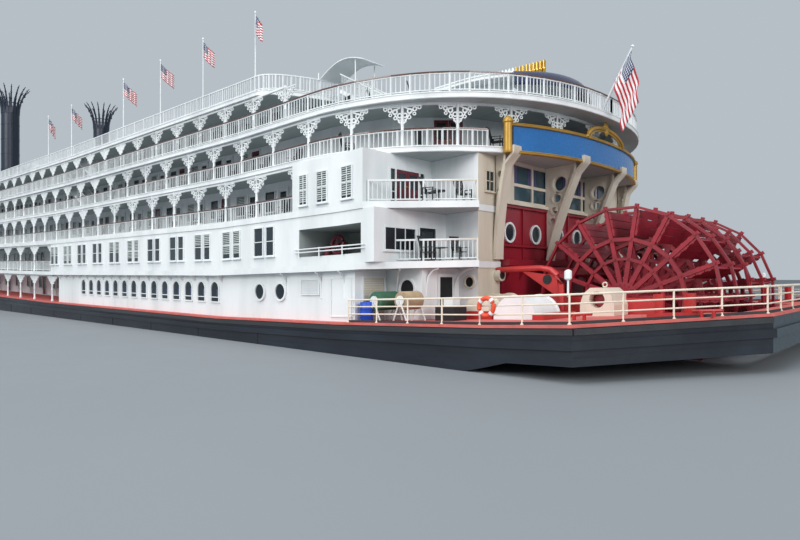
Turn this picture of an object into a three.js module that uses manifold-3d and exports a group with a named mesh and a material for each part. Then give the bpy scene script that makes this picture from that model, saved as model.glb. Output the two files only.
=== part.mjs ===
// Sternwheel paddle boat, a 1:10 scale model of a six-deck river cruise boat.
//
// The part's frame: +X towards the bow, +Y to port, +Z up, with the origin amidships on the
// centreline of the flat bottom. Sizes are written in full-size metres, and MM turns them
// into the model's millimetres. Deck heights are those amidships of a deck without sheer: the
// deckhouses, slabs and rails are built level and then lifted by the boat's sheer, which
// depends on X only, so pieces that touch still touch.

import * as THREE from 'three';
import { mergeVertices } from 'three/addons/utils/BufferGeometryUtils.js';
import Module from 'manifold-3d';

const wasm = await Module();
wasm.setup();

// Driving dimensions in full-size metres
const MM = 100;                                   // one full-size metre on the 1:10 model
const GAP = 0.003;                                // running gap between pieces that touch
const HULL = {
  stern: -63.7, bow: 63.7, half: 13.6, top: 3.7,
  quarterX: -59.5, transomHalf: 6.6, plateBottom: 2.65, rakeStart: -44, rakeEnd: -57,
  bowRake: [[42, 0], [50, 0.3], [56, 1.0], [60.5, 2.1]],        // (x, z) along the forefoot
  bowTaper: 30, bowPower: 1.9, bowSteps: 10,
  fender: { out: 0.12, into: 0.2, z: [3.1, 3.35] },
};
const ACROSS = 20;                                // past the beam, for cuts right across
const WELL = { half: 5.0, front: -52.5, back: -62.3 };
const WHEEL = {
  x: -57.4, z: 5.1, radius: 4.27, arms: 18, discs: [0.09, 2.33, 4.57], disc: 0.13,
  armWidth: 0.2, hub: 0.72, shaft: 0.34, shaftHalf: 6.9, ring: 2.69, ringWidth: 0.2,
  bucket: { from: 2.85, to: 4.0, thick: 0.09, past: 0.02 },
  phase: { port: 158.4, starboard: 168.4 },       // degrees
};
const SLAB = 0.3;
const DECK = { main: 3.8, two: 6.4, three: 9.05, four: 11.75, five: 14.2, six: 16.75 };
const STERN_CENTRE = -44.3;                       // the decks' round stern starts here
const BULKHEAD = -51;                             // aft face of the saloon and engine room
const RUDDER = {
  x: -50.6, y: 3.2, bottom: 0.25, top: 1.9, stock: 0.2, stockTop: 2.6,
  foil: [[1.2, -0.06], [1.2, 0.06], [0.3, 0.2], [-2.7, 0.03], [-2.7, -0.03], [0.3, -0.2]],
};

// Sheer: how far the decks rise above their height amidships
const sheerAt = x => (x < -33 ? 0.95 * ((-33 - x) / 30.7) ** 2 : 1.8 * ((x + 33) / 96.7) ** 2);
const KNOTS = [-64.5, -56, -48, -38, -10, 20, 45, 65];
const sheer = x => {
  let i = 1;
  while (i < KNOTS.length - 1 && x > KNOTS[i]) i += 1;
  const [a, b] = [KNOTS[i - 1], KNOTS[i]];
  return THREE.MathUtils.lerp(sheerAt(a), sheerAt(b), (x - a) / (b - a));
};

// Finishes
const paint = (color, roughness = 0.5, metalness = 0) =>
  new THREE.MeshStandardMaterial({ color, roughness, metalness, flatShading: true });
const FINISH = {
  hull: paint(0x0e131d, 0.4), deckRed: paint(0xb85f58, 0.8), white: paint(0xdfe3e6),
  cream: paint(0xcdc0a6), bulkhead: paint(0x8e1c2c, 0.45),
  wheel: paint(0x981a2b, 0.5), red: paint(0xb8332f, 0.45), blue: paint(0x2f7fc0, 0.35),
  gold: paint(0xc79a3c, 0.35, 0.6), navy: paint(0x1b2638, 0.45),
  steel: paint(0x70757a, 0.4, 0.8), maroon: paint(0x6b2330, 0.5),
};

// How far a point of a level shape is raised: whole pieces, the hull, and rigid pieces on feet
const WITH_DECKS = x => sheer(x);
const WITH_HULL = (x, z) => sheer(x) * Math.max(0, Math.min(1, z / HULL.top));
const FEET_ONLY = (x, z) => (z < DECK.main + 0.1 ? sheer(x) : 0);
const LEVEL = () => 0;
let lift = WITH_DECKS;
function lifted(by, make) {
  const kept = lift;
  lift = by;
  const made = make();
  lift = kept;
  return made;
}

// Triangles are split where the sheer changes slope, so that each stays flat when lifted
function splitAt(positions, triangles, x0) {
  const out = [];
  const made = new Map();
  const side = v => (Math.abs(positions[v][0] - x0) < 1e-4 ? 0 : Math.sign(positions[v][0] - x0));
  const crossing = (a, b) => {
    const key = a < b ? `${a},${b}` : `${b},${a}`;
    if (!made.has(key)) {
      const [p, q] = a < b ? [positions[a], positions[b]] : [positions[b], positions[a]];
      const t = (x0 - p[0]) / (q[0] - p[0]);
      made.set(key, positions.length);
      positions.push([x0, p[1] + t * (q[1] - p[1]), p[2] + t * (q[2] - p[2])]);
    }
    return made.get(key);
  };
  for (const tri of triangles) {
    const sides = tri.map(side);
    if (!sides.includes(1) || !sides.includes(-1)) { out.push(tri); continue; }
    const ring = [];
    for (let i = 0; i < 3; i += 1) {
      const j = (i + 1) % 3;
      ring.push(tri[i]);
      if (sides[i] * sides[j] < 0) ring.push(crossing(tri[i], tri[j]));
    }
    for (const s of [1, -1]) {
      const part = ring.filter(v => side(v) === s || side(v) === 0);
      for (let k = 1; k < part.length - 1; k += 1) out.push([part[0], part[k], part[k + 1]]);
    }
  }
  return out;
}

// A solid from a three.js geometry, lifted with the decks
function solid(geometry) {
  const bare = geometry.clone();
  for (const name of ['normal', 'uv']) bare.deleteAttribute(name);
  const merged = mergeVertices(bare, 1e-5);
  const positions = [];
  for (let i = 0; i < merged.attributes.position.count; i += 1) {
    positions.push(new THREE.Vector3().fromBufferAttribute(merged.attributes.position, i).toArray());
  }
  let triangles = [];
  for (let i = 0; i < merged.index.count; i += 3) triangles.push([...merged.index.array.slice(i, i + 3)]);
  if (lift !== LEVEL) for (const knot of KNOTS.slice(1, -1)) triangles = splitAt(positions, triangles, knot);
  const vertProperties = new Float32Array(positions.flatMap(([x, y, z]) => [x, y, z + lift(x, z)]));
  const triVerts = new Uint32Array(triangles.flat());
  return new wasm.Manifold(new wasm.Mesh({ numProp: 3, vertProperties, triVerts }));
}
const join = parts => parts.reduce((whole, part) => whole.add(part));
const cut = (whole, tools) => tools.reduce((rest, tool) => rest.subtract(tool), whole);

function box(x0, x1, y0, y1, z0, z1) {
  const geometry = new THREE.BoxGeometry(x1 - x0, y1 - y0, z1 - z0);
  geometry.translate((x0 + x1) / 2, (y0 + y1) / 2, (z0 + z1) / 2);
  return solid(geometry);
}

function extruded(points, depth) {
  const shape = new THREE.Shape(points.map(([u, v]) => new THREE.Vector2(u, v)));
  return new THREE.ExtrudeGeometry(shape, { depth, bevelEnabled: false });
}
// A plan outline (x, y) raised from z0 to z1
function slab(points, z0, z1) {
  const geometry = extruded(points, z1 - z0);
  geometry.translate(0, 0, z0);
  return solid(geometry);
}
// A profile (x, z) carried across from y0 to y1, with holes right through it; place moves the
// geometry before it is lifted
function plate(points, y0, y1, holes = [], place = geometry => geometry) {
  const geometry = extruded(points, y1 - y0);
  geometry.rotateX(Math.PI / 2);
  geometry.translate(0, y1, 0);
  return cut(solid(place(geometry)), holes.map(hole => plate(hole, y0 - 0.1, y1 + 0.1, [], place)));
}
// A round bar between two points
function rod(from, to, radius, sides = 10, endRadius = radius) {
  const a = new THREE.Vector3(...from);
  const b = new THREE.Vector3(...to);
  const geometry = new THREE.CylinderGeometry(endRadius, radius, a.distanceTo(b), sides);
  const turn = new THREE.Quaternion().setFromUnitVectors(
    new THREE.Vector3(0, 1, 0), b.clone().sub(a).normalize());
  geometry.applyQuaternion(turn);
  geometry.translate(...a.add(b).multiplyScalar(0.5).toArray());
  return solid(geometry);
}
const circle = (u, v, radius, sides = 16, start = 0) => Array.from({ length: sides }, (_, i) => {
  const t = start + (2 * Math.PI * i) / sides;
  return [u + radius * Math.cos(t), v + radius * Math.sin(t)];
});
const rectangle = (u0, u1, v0, v1) => [[u0, v0], [u1, v0], [u1, v1], [u0, v1]];

const boat = new THREE.Group();
function node(name, manifold, material, place = () => {}) {
  const { vertProperties, triVerts } = manifold.getMesh();
  const geometry = new THREE.BufferGeometry();
  geometry.setAttribute('position', new THREE.BufferAttribute(vertProperties.map(v => v * MM), 3));
  geometry.setIndex([...triVerts]);
  const mesh = new THREE.Mesh(geometry, material);
  mesh.name = name;
  place(mesh);
  boat.add(mesh);
}
const DEG = Math.PI / 180;
const SIDES = [['port', 1], ['starboard', -1]];
const spanY = (side, a, b) => (side > 0 ? [a, b] : [-b, -a]);
const sideBox = (side, x0, x1, a, b, z0, z1) => box(x0, x1, ...spanY(side, a, b), z0, z1);

// Deck outlines: straight sides and superelliptic ends
function endCurve(centre, reach, half, power, steps) {
  const sign = Math.sign(reach);
  return Array.from({ length: steps + 1 }, (_, i) => {
    const t = (Math.PI * i) / steps - Math.PI / 2;
    const [c, s] = [Math.cos(t), Math.sin(t)];
    const x = centre + reach * Math.abs(c) ** (2 / power);
    return [x, sign * half * Math.sign(s) * Math.abs(s) ** (2 / power)];
  });
}
const ROUND = { power: 2.2, stern: 12, bow: 6 };    // steps of 15 and 30 degrees
function deckOutline({ half, stern, bow, aft = STERN_CENTRE, fore = 40 }, inset = 0) {
  return [
    ...endCurve(fore, bow - inset, half - inset, ROUND.power, ROUND.bow),
    ...endCurve(aft, inset - stern, half - inset, ROUND.power, ROUND.stern),
  ];
}
// Decks two and three have a chamfered balcony on each quarter and stop at the bulkhead
const WING = { aft: -52.2, fore: -50.3, half: 8.5, inner: 6.7, lap: 0.25 };
const cornerOutline = (half, bow) => {
  const port = [[-49.6, half], [-52.9, 9.4], [WING.aft - 0.05, WING.half + 0.05],
    [WING.aft - 0.05, WING.inner], [BULKHEAD + WING.lap, WING.inner]];
  return [...endCurve(40, bow, half, ROUND.power, ROUND.bow), ...port,
    ...port.slice().reverse().map(([x, y]) => [x, -y])];
};
const ROUND_DECKS = {
  four: { half: 12.8, stern: 10.1, bow: 7 },
  five: { half: 12.3, stern: 10.7, bow: 6.5 },
  six: { half: 11.5, stern: 3.2, bow: 5, aft: -38.4 },
};
const PLAN = {
  two: cornerOutline(13.6, 8),
  three: cornerOutline(13.45, 7.5),
  ...Object.fromEntries(Object.entries(ROUND_DECKS).map(([level, spec]) => [level, deckOutline(spec)])),
};

// Hull: the plan and the side profile, crossed, with the wheel's well cut from the stern
const hullPlan = inset => {
  const half = HULL.half - inset;
  const bowCurve = endCurve(HULL.bowTaper, HULL.bow - HULL.bowTaper - inset, half,
    HULL.bowPower, HULL.bowSteps);
  return [...bowCurve, [HULL.quarterX + inset / 2, half], [HULL.stern + inset, HULL.transomHalf],
    [HULL.stern + inset, -HULL.transomHalf], [HULL.quarterX + inset / 2, -half]];
};
const hullProfile = [
  [HULL.rakeStart, 0], ...HULL.bowRake, [HULL.bow, HULL.top],
  [HULL.stern, HULL.top], [HULL.stern, HULL.plateBottom], [HULL.rakeEnd, HULL.plateBottom],
];
const wellBox = () => box(WELL.back, WELL.front, -WELL.half, WELL.half, -1, DECK.two);
const TUNNEL = { fore: -42, full: -49.2, height: 2.1 };
const rudderTunnel = () => plate([[TUNNEL.fore, -1], [TUNNEL.fore, 0], [TUNNEL.full, TUNNEL.height],
  [WELL.front - 1, TUNNEL.height], [WELL.front - 1, -1]], -WELL.half, WELL.half);
const rudderStock = (side, radius, bottom, top) =>
  rod([RUDDER.x, side * RUDDER.y, bottom], [RUDDER.x, side * RUDDER.y, top], radius, 12);
const hull = lifted(WITH_HULL, () => {
  const body = slab(hullPlan(0), 0, HULL.top).intersect(plate(hullProfile, -ACROSS, ACROSS));
  const { out, into, z } = HULL.fender;
  const fender = slab(hullPlan(-out), ...z).subtract(slab(hullPlan(into), z[0] - 0.1, z[1] + 0.1));
  return cut(body.add(fender), [wellBox(), rudderTunnel()]);
});
const stockBores = lifted(LEVEL, () =>
  SIDES.map(([, side]) => rudderStock(side, RUDDER.stock + 0.01, 0, RUDDER.stockTop + 0.02)));
node('hull', cut(hull, stockBores), FINISH.hull);

const deckPlate = slab(hullPlan(-0.05), HULL.top + GAP, DECK.main).subtract(wellBox());
node('main_deck', deckPlate, FINISH.deckRed);

for (const [name, side] of SIDES) {
  const foil = RUDDER.foil.map(([x, y]) => [RUDDER.x + x, y + side * RUDDER.y]);
  const rudder = lifted(LEVEL, () => slab(foil, RUDDER.bottom, RUDDER.top)
    .add(rudderStock(side, RUDDER.stock, RUDDER.bottom, RUDDER.stockTop)));
  node(`rudder_${name}`, rudder, FINISH.hull);
}

// Main house: engine room aft with a doorway each side in its after walls, plain forward of it
const inside = { x0: -50.6, x1: -38, half: 10.6, z0: DECK.main + 0.1, z1: 5.95 };
const underside = level => DECK[level] - SLAB - GAP;
const DOOR_WALL = BULKHEAD - 0.1;                 // aft face of the walls that carry the doors
const halfOutline = [[WING.aft, WING.half], [DOOR_WALL, WING.half], [DOOR_WALL, 11.2],
  [-48.9, 11.2], [-48.9, 13.2], [-12, 13.2], [-12, 9.6], [38, 9.6]];
const mirrored = port => [...port.map(([x, y]) => [x, -y]), ...port.slice().reverse()];
const notch = (z0, z1) =>
  box(WING.aft - 1, BULKHEAD + WING.lap, -WING.inner, WING.inner, z0 - 1, z1 + 1);
const mainHouse = slab(mirrored(halfOutline), DECK.main + GAP, underside('two'))
  .subtract(notch(DECK.main, DECK.two));
const engineRoom = box(inside.x0, inside.x1, -inside.half, inside.half, inside.z0, inside.z1);
const doorway = { y: [9.1, 10.1], z0: DECK.main + 0.16, z1: 5.8 };
const doorways = SIDES.map(([, side]) =>
  sideBox(side, DOOR_WALL - 0.5, inside.x0 + 0.5, ...doorway.y, doorway.z0, doorway.z1));
node('main_house', cut(mainHouse, [engineRoom, ...doorways]), FINISH.white);
const ENGINE = { x0: -48.5, x1: -40, half: 2.2, height: 1.5 };
node('steam_engine', box(ENGINE.x0, ENGINE.x1, -ENGINE.half, ENGINE.half, inside.z0 + GAP,
  inside.z0 + ENGINE.height), FINISH.steel);

// Engine-room doors, closing on the aft face of the wall and hinged on their outboard edge
const LEAF = { lap: 0.06, foot: 0.12, thick: 0.09 };
for (const [name, side] of SIDES) {
  const leaf = sideBox(side, DOOR_WALL - LEAF.thick, DOOR_WALL - GAP, doorway.y[0] - LEAF.lap,
    doorway.y[1] + LEAF.lap, DECK.main + LEAF.foot, doorway.z1 + LEAF.lap);
  node(`engine_room_door_${name}`, leaf, FINISH.maroon);
}

// Deck slabs with their fascias
for (const [level, plan] of Object.entries(PLAN)) {
  node(`deck_${level}`, slab(plan, DECK[level] - SLAB, DECK[level]), FINISH.white);
}

// A rail along a line of points: a frame of posts and bars between each two points
const RAIL = { width: 0.08, toe: 0.02, height: 0.95, openHeight: 1.0 };
function railing(points, z0, every) {
  const { width, toe, openHeight: top } = RAIL;
  const frames = points.slice(1).map((end, i) => {
    const start = points[i];
    const length = Math.hypot(end[0] - start[0], end[1] - start[1]);
    const count = Math.max(1, Math.round(length / every));
    const holes = [];
    for (let k = 0; k < count; k += 1) {
      const span = [(k * length) / count + width / 2, ((k + 1) * length) / count - width / 2];
      holes.push(rectangle(...span, toe, top - width));
    }
    const turn = Math.atan2(end[1] - start[1], end[0] - start[0]);
    return plate(rectangle(-width / 2, length + width / 2, 0, top), -width / 2, width / 2, holes,
      geometry => geometry.rotateZ(turn).translate(...start, z0));
  });
  return join(frames);
}

// Deckhouses between the slabs: (x, half width) from aft to forward
const CABIN_SPLIT = -44.4;                        // the stern cabins end here, the long houses begin
const HOUSES = [
  ['stern_cabins_two', 'two', 'three', [[WING.aft, WING.half], [WING.fore, WING.half],
    [WING.fore, 13.4], [CABIN_SPLIT, 13.4]]],
  ['stern_cabins_three', 'three', 'four', [[WING.aft, WING.half], [-49.4, WING.half],
    [-49.4, 13.2], [CABIN_SPLIT, 13.2]]],
  ['deckhouse_two', 'two', 'three', [[CABIN_SPLIT + GAP, 13.4], [-10.6, 13.4], [-10.6, 9.8], [38, 9.8]]],
  ['deckhouse_three', 'three', 'four', [[CABIN_SPLIT + GAP, 10.6], [38, 10.6]]],
  ['deckhouse_four', 'four', 'five', [[-51, 3.5], [-50, 6.5], [-47.5, 9.3], [-44, 10.2], [38, 10.2]]],
  ['deckhouse_five', 'five', 'six', [[-38.5, 9.2], [37, 9.2]]],
];
const OPEN_BAY = { x: [-49.5, -45.2], depth: 10.2, z: [6.83, 8.14] };
const balconyLine = side => [[-49.5, 12.95], [-52.65, 9.2], [WING.aft + 0.2, WING.half - 0.1]]
  .map(([x, y]) => [x, side * y]);
for (const [name, floor, roof, profile] of HOUSES) {
  const [z0, z1] = [DECK[floor] + GAP, underside(roof)];
  let house = slab(mirrored(profile), z0, z1);
  if (profile[0][0] === WING.aft) {
    const rails = SIDES.map(([, side]) => railing(balconyLine(side), z0, 2.4));
    house = cut(house, [notch(z0, z1)]).add(join(rails));
  }
  if (name === 'stern_cabins_two') {
    house = cut(house, SIDES.map(([, side]) =>
      sideBox(side, ...OPEN_BAY.x, OPEN_BAY.depth, ACROSS, ...OPEN_BAY.z)));
  }
  node(name, house, FINISH.white);
}

// Colonnades: posts, a handrail and a top and bottom beam along both sides, carried round the
// bow and, on deck four, round the stern. first is the aftmost post, which stands against a
// wall or starts the round stern; the rest are spaced from the second. Deck five's two sides
// and its bow frame are pieces of their own.
const POST = 0.16;
const BEAM = 0.12;
const SILL = 0.1;                                 // the foot beam of a frame without a rail
const BOW_POSTS = [60, 30, 0];                    // degrees off the centreline, at the ends' corners
const COLONNADES = [
  { name: 'colonnade_main', floor: 'main', roof: 'two', half: 13.3, first: -10.5, second: -5.8,
    bays: 11, bay: 4.1, front: 47.6 },
  { name: 'colonnade_two', floor: 'two', roof: 'three', half: 13.3, first: -10.5, second: -5.8,
    bays: 11, bay: 4.1, front: 47.2, rail: true },
  { name: 'colonnade_three', floor: 'three', roof: 'four', half: 12.75, first: -44.3,
    second: -40.6, bays: 26, bay: 3.07, front: 46.8, rail: true },
  { name: 'colonnade_four', floor: 'four', roof: 'five', half: 12.15, first: -44.3,
    second: -41.3, bays: 27, bay: 3.05, front: 46.3, rail: true,
    stern: -53.9, sternPosts: [75, 60, 45, 30, 15, 0] },
  { name: 'colonnade_five', floor: 'five', roof: 'six', half: 11.4, first: -41.35,
    second: -38.3, bays: 25, bay: 3.05, front: 44.8, apart: true },
];
function sideFrame({ half, first, second, bays, bay, rail }, z0, z1, railTop, side) {
  const posts = [first, ...Array.from({ length: bays + 1 }, (_, i) => second + i * bay)];
  const low = rail ? railTop : z0 + SILL;
  const holes = posts.slice(1).map((x, i) =>
    rectangle(posts[i] + POST / 2, x - POST / 2, low, z1 - BEAM));
  const ends = [first - POST / 2, posts[posts.length - 1] + POST / 2];
  return plate(rectangle(...ends, z0, z1), ...spanY(side, half - BEAM, half), holes);
}
function endPoint(centre, reach, half, angle) {
  const [c, s] = [Math.cos(angle), Math.sin(angle)];
  return [centre + reach * Math.abs(c) ** (2 / ROUND.power),
    half * Math.sign(s) * Math.abs(s) ** (2 / ROUND.power)];
}
// A band that follows a round end through the given angles in degrees
function endBand(centre, reach, half, width, z0, z1, angles) {
  const line = inset => angles.map(angle =>
    endPoint(centre, reach - Math.sign(reach) * inset, half - inset, angle * DEG));
  return slab([...line(0), ...line(width).reverse()], z0, z1);
}
const allRound = steps => Array.from({ length: steps + 1 }, (_, i) => 90 - (180 * i) / steps);
function endFrame(centre, reach, half, angles, heights, z0, z1) {
  const around = allRound(reach > 0 ? ROUND.bow : ROUND.stern);
  const pieces = heights.map(([low, high]) => endBand(centre, reach, half, BEAM, low, high, around));
  for (const angle of angles.flatMap(a => (a ? [a, -a] : [0]))) {
    const [x, y] = endPoint(centre, reach - Math.sign(reach) * BEAM / 2, half - BEAM / 2, angle * DEG);
    pieces.push(box(x - POST / 2, x + POST / 2, y - POST / 2, y + POST / 2, z0, z1));
  }
  return join(pieces);
}
for (const row of COLONNADES) {
  const [z0, z1] = [DECK[row.floor] + GAP, underside(row.roof)];
  const railTop = DECK[row.floor] + RAIL.height;
  const end = row.second + row.bays * row.bay;
  const heights = [[z0, row.rail ? railTop : z0 + SILL], [z1 - BEAM, z1]];
  const parts = SIDES.map(([, side]) => sideFrame(row, z0, z1, railTop, side));
  const bow = endFrame(end, row.front - end, row.half, BOW_POSTS, heights, z0, z1);
  if (row.apart) {
    const sides = box(end - 1, end + POST / 2 + GAP, -ACROSS, ACROSS, z0 - 1, z1 + 1);
    node(`${row.name}_bow`, cut(bow, [sides]), FINISH.white);
    SIDES.forEach(([name], i) => node(`${row.name}_${name}`, parts[i], FINISH.white));
    continue;
  }
  parts.push(bow);
  if (row.stern) {
    parts.push(endFrame(row.first, row.stern - row.first, row.half, row.sternPosts, heights, z0, z1));
  }
  node(row.name, join(parts), FINISH.white);
}

// Rails: round the after deck with a gap at the centreline, round deck five with the ensign
// staff raked aft from its stern, and round deck six with the flagpoles
const afterDeckLine = side => [[-48.7, 13.4], [-59.3, 13.4], [-63.5, 6.5], [-63.5, 0]]
  .map(([x, y]) => [x, side * y]);
node('railing_after_deck', join(SIDES.map(([, side]) =>
  railing(afterDeckLine(side), DECK.main + GAP, 2.1))), FINISH.white);

function loopRail(level, inset, poles) {
  const [spec, z0] = [ROUND_DECKS[level], DECK[level] + GAP];
  const loop = (extra, low, high) => slab(deckOutline(spec, inset + extra), low, high);
  const rail = loop(0, z0, z0 + RAIL.height).subtract(loop(RAIL.width, z0 - 0.1, z0 + RAIL.height + 0.1));
  return join([rail, ...poles]);
}
const STAFF = { foot: [-54.8, 1.0, 14.85], top: [-56.4, 1.0, 17.2], radius: 0.07 };
const POLES = {
  x: [-38.4, -32.5, -26.6, -20.4, -9.4, -3.3], half: ROUND_DECKS.six.half - 0.2,
  foot: DECK.six + 0.5, top: 21.5, radius: 0.06,
};
const ensignStaff = rod(STAFF.foot, STAFF.top, STAFF.radius, 8);
const flagpoles = SIDES.flatMap(([, side]) => POLES.x.map(x =>
  rod([x, side * POLES.half, POLES.foot], [x, side * POLES.half, POLES.top], POLES.radius, 4)));
node('railing_five', loopRail('five', 0.12, [ensignStaff]), FINISH.white);
node('railing_six', loopRail('six', 0.15, flagpoles), FINISH.white);

// Stern: red bulkhead, saloon front with its window openings, knees and sign board
const FRONT = { x0: WING.aft - 0.05, x1: BULKHEAD + 0.22, half: 6.62, sill: 9.2, recess: 0.08 };
const LEDGE = { out: -52.7, z0: 6.2, z1: 6.5 };
const bulkhead = box(FRONT.x0, FRONT.x1, -FRONT.half, FRONT.half, DECK.main + GAP, FRONT.sill);
const ledge = box(LEDGE.out, BULKHEAD, -FRONT.half, FRONT.half, LEDGE.z0, LEDGE.z1);
node('engine_bulkhead', bulkhead.add(ledge), FINISH.bulkhead);
const PANES = { count: 6, pitch: 1.86, width: 1.7, rows: [[9.5, 10.2], [10.35, 11.25]] };   // rows: z
const panes = PANES.rows.flatMap(row => Array.from({ length: PANES.count }, (_, i) => {
  const y = (i - (PANES.count - 1) / 2) * PANES.pitch;
  return box(FRONT.x0 - 1, FRONT.x0 + FRONT.recess, y - PANES.width / 2, y + PANES.width / 2, ...row);
}));
node('saloon_window_frame', cut(box(FRONT.x0, FRONT.x1, -FRONT.half, FRONT.half, FRONT.sill + GAP,
  underside('four')), panes), FINISH.cream);

// Knees that carry deck four's overhang: a pierced web in a sweeping curve, with a wide flange
const OUTER_KNEE = { y: 7.0, toe: 0.12, out: -52.9, sweep: 1.8 };
const INNER_KNEE = { y: 2.3, toe: 0.3, out: -54.1, sweep: 1.25 };
const KNEES = [['knee_port_outer', OUTER_KNEE, 1], ['knee_port_inner', INNER_KNEE, 1],
  ['knee_starboard_inner', INNER_KNEE, -1], ['knee_starboard_outer', OUTER_KNEE, -1]];
const KNEE = {
  foot: LEDGE.z1 + GAP, top: underside('four'), tip: 0.5, steps: 6,
  web: 0.24, flange: 0.6, flangeThick: 0.12, share: 0.3,
  holes: [[8.6, 0.16], [9.15, 0.2], [9.8, 0.26], [10.55, 0.42]],                          // z, radius
};
for (const [name, { y: aside, toe, out, sweep }, side] of KNEES) {
  const y = side * aside;
  const wall = FRONT.x0 - GAP;
  const bend = KNEE.top - KNEE.tip;
  const outer = z => wall - toe - (wall - toe - out) * ((z - KNEE.foot) / (bend - KNEE.foot)) ** sweep;
  const edge = Array.from({ length: KNEE.steps + 1 }, (_, i) => {
    const z = THREE.MathUtils.lerp(KNEE.foot, bend, i / KNEE.steps);
    return [outer(z), z];
  });
  edge.push([out, KNEE.top]);
  const holes = KNEE.holes.map(([z, radius]) =>
    circle((wall + outer(z)) / 2, z, Math.min(radius, (wall - outer(z)) * KNEE.share), 8));
  const back = edge.slice().reverse();
  const across = width => [y - width / 2, y + width / 2];
  const web = plate([[wall, KNEE.foot], [wall, KNEE.top], ...back], ...across(KNEE.web), holes);
  const flange = plate([...edge, ...back.map(([x, z]) => [x + KNEE.flangeThick, z])],
    ...across(KNEE.flange));
  node(name, web.add(flange), FINISH.cream);
}

// Sign board on the edge of deck four, between the outer knees, in a gilt frame
const SIGN = { limit: 31, z0: 11.42, z1: 12.85, thick: 0.14, frame: 0.14, frameThick: 0.2 };
const SIGN_END = { past: 1.7, off: 0.12, aft: 0.17, fore: 0.05, half: 0.2, over: 0.2 };
function signBand(width, z0, z1, limit) {
  const { stern, half } = ROUND_DECKS.four;
  const off = GAP + width;
  return endBand(STERN_CENTRE, -stern - off, half + off, width, z0, z1,
    [limit, 30, 15, 0, -15, -30, -limit]);
}
const boardAt = [SIGN.z0 + SIGN.frame, SIGN.z1 - SIGN.frame];
node('sign_board', signBand(SIGN.thick, boardAt[0] + GAP, boardAt[1] - GAP, SIGN.limit), FINISH.blue);
const signEnds = [1, -1].map(s => {
  const { stern, half } = ROUND_DECKS.four;
  const { past, off, aft, fore, over } = SIGN_END;
  const [x, y] = endPoint(STERN_CENTRE, -stern - off, half + off, s * (SIGN.limit + past) * DEG);
  return box(x - aft, x + fore, y - SIGN_END.half, y + SIGN_END.half, SIGN.z0, SIGN.z1 + over);
});
const signRails = [[SIGN.z0, boardAt[0]], [boardAt[1], SIGN.z1]].map(([low, high]) =>
  signBand(SIGN.frameThick, low, high, SIGN.limit + SIGN_END.past));
node('sign_frame', join([...signRails, ...signEnds]), FINISH.gold);

// Paddle wheel: three discs of arms and rings on each half, with buckets across them
const polar = (radius, angle) => [radius * Math.cos(angle), radius * Math.sin(angle)];
function wheelDisc(y, phase) {
  const { arms, armWidth, radius, hub, shaft, ring, ringWidth } = WHEEL;
  const step = (2 * Math.PI) / arms;
  const [ringIn, ringOut] = [ring - ringWidth / 2, ring + ringWidth / 2];
  const edge = (r, angle, side) => {
    const [c, s] = polar(r, angle);
    return [c - side * (armWidth / 2) * Math.sin(angle), s + side * (armWidth / 2) * Math.cos(angle)];
  };
  const outline = [];
  const holes = [circle(0, 0, shaft + GAP, 16)];
  for (let i = 0; i < arms; i += 1) {
    const at = phase + i * step;
    const next = at + step;
    outline.push(edge(ringOut, at, -1), edge(radius, at, -1), edge(radius, at, 1), edge(ringOut, at, 1));
    holes.push([edge(hub, at, 1), edge(ringIn, at, 1), edge(ringIn, next, -1), edge(hub, next, -1)]);
  }
  return plate(outline, y - WHEEL.disc / 2, y + WHEEL.disc / 2, holes);
}
lift = LEVEL;
for (const [name, side] of SIDES) {
  const phase = WHEEL.phase[name] * DEG;
  const discs = WHEEL.discs.map(y => wheelDisc(side * y, phase));
  const buckets = Array.from({ length: WHEEL.arms }, (_, i) => {
    const { from, to, thick, past } = WHEEL.bucket;
    const ends = spanY(side, WHEEL.discs[0] - past, WHEEL.discs[WHEEL.discs.length - 1] + past);
    const geometry = new THREE.BoxGeometry(to - from, ends[1] - ends[0], thick);
    geometry.translate((from + to) / 2, (ends[0] + ends[1]) / 2, WHEEL.armWidth / 2 + thick / 4);
    geometry.rotateY(-(phase + (2 * Math.PI * i) / WHEEL.arms));
    return solid(geometry);
  });
  node(`paddle_wheel_${name}`, join([...discs, ...buckets]), FINISH.wheel, mesh =>
    mesh.position.set(WHEEL.x * MM, 0, WHEEL.z * MM));
}
node('wheel_shaft', rod([WHEEL.x, -WHEEL.shaftHalf, WHEEL.z], [WHEEL.x, WHEEL.shaftHalf, WHEEL.z],
  WHEEL.shaft, 16), FINISH.wheel);
lift = WITH_DECKS;

// Cylinder timbers beside the well, each with the covered bearing that carries the shaft
const TIMBER = { aft: -59.3, y: [5.15, 5.9], over: 0.05, clear: 0.03 };
const COVER = {
  y: [5.7, 7.3], half: 0.75,
  shoulders: [[0.75, 4.9], [0.6, 5.35], [0.3, 5.6], [-0.3, 5.6], [-0.6, 5.35], [-0.75, 4.9]],
};
lift = FEET_ONLY;
for (const [name, side] of SIDES) {
  const foot = DECK.main + GAP;
  const bore = rod([WHEEL.x, -ACROSS, WHEEL.z], [WHEEL.x, ACROSS, WHEEL.z], WHEEL.shaft + 2 * GAP, 24);
  const arch = [[-COVER.half, foot], [COVER.half, foot], ...COVER.shoulders]
    .map(([x, z]) => [WHEEL.x + x, z]);
  const cover = plate(arch, ...spanY(side, ...COVER.y));
  const timber = sideBox(side, TIMBER.aft, FRONT.x0 - TIMBER.clear, ...TIMBER.y, foot, WHEEL.z + TIMBER.over);
  node(`cylinder_timber_${name}`, cut(cover.add(timber), [bore]), FINISH.red);
}
lift = WITH_DECKS;

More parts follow.
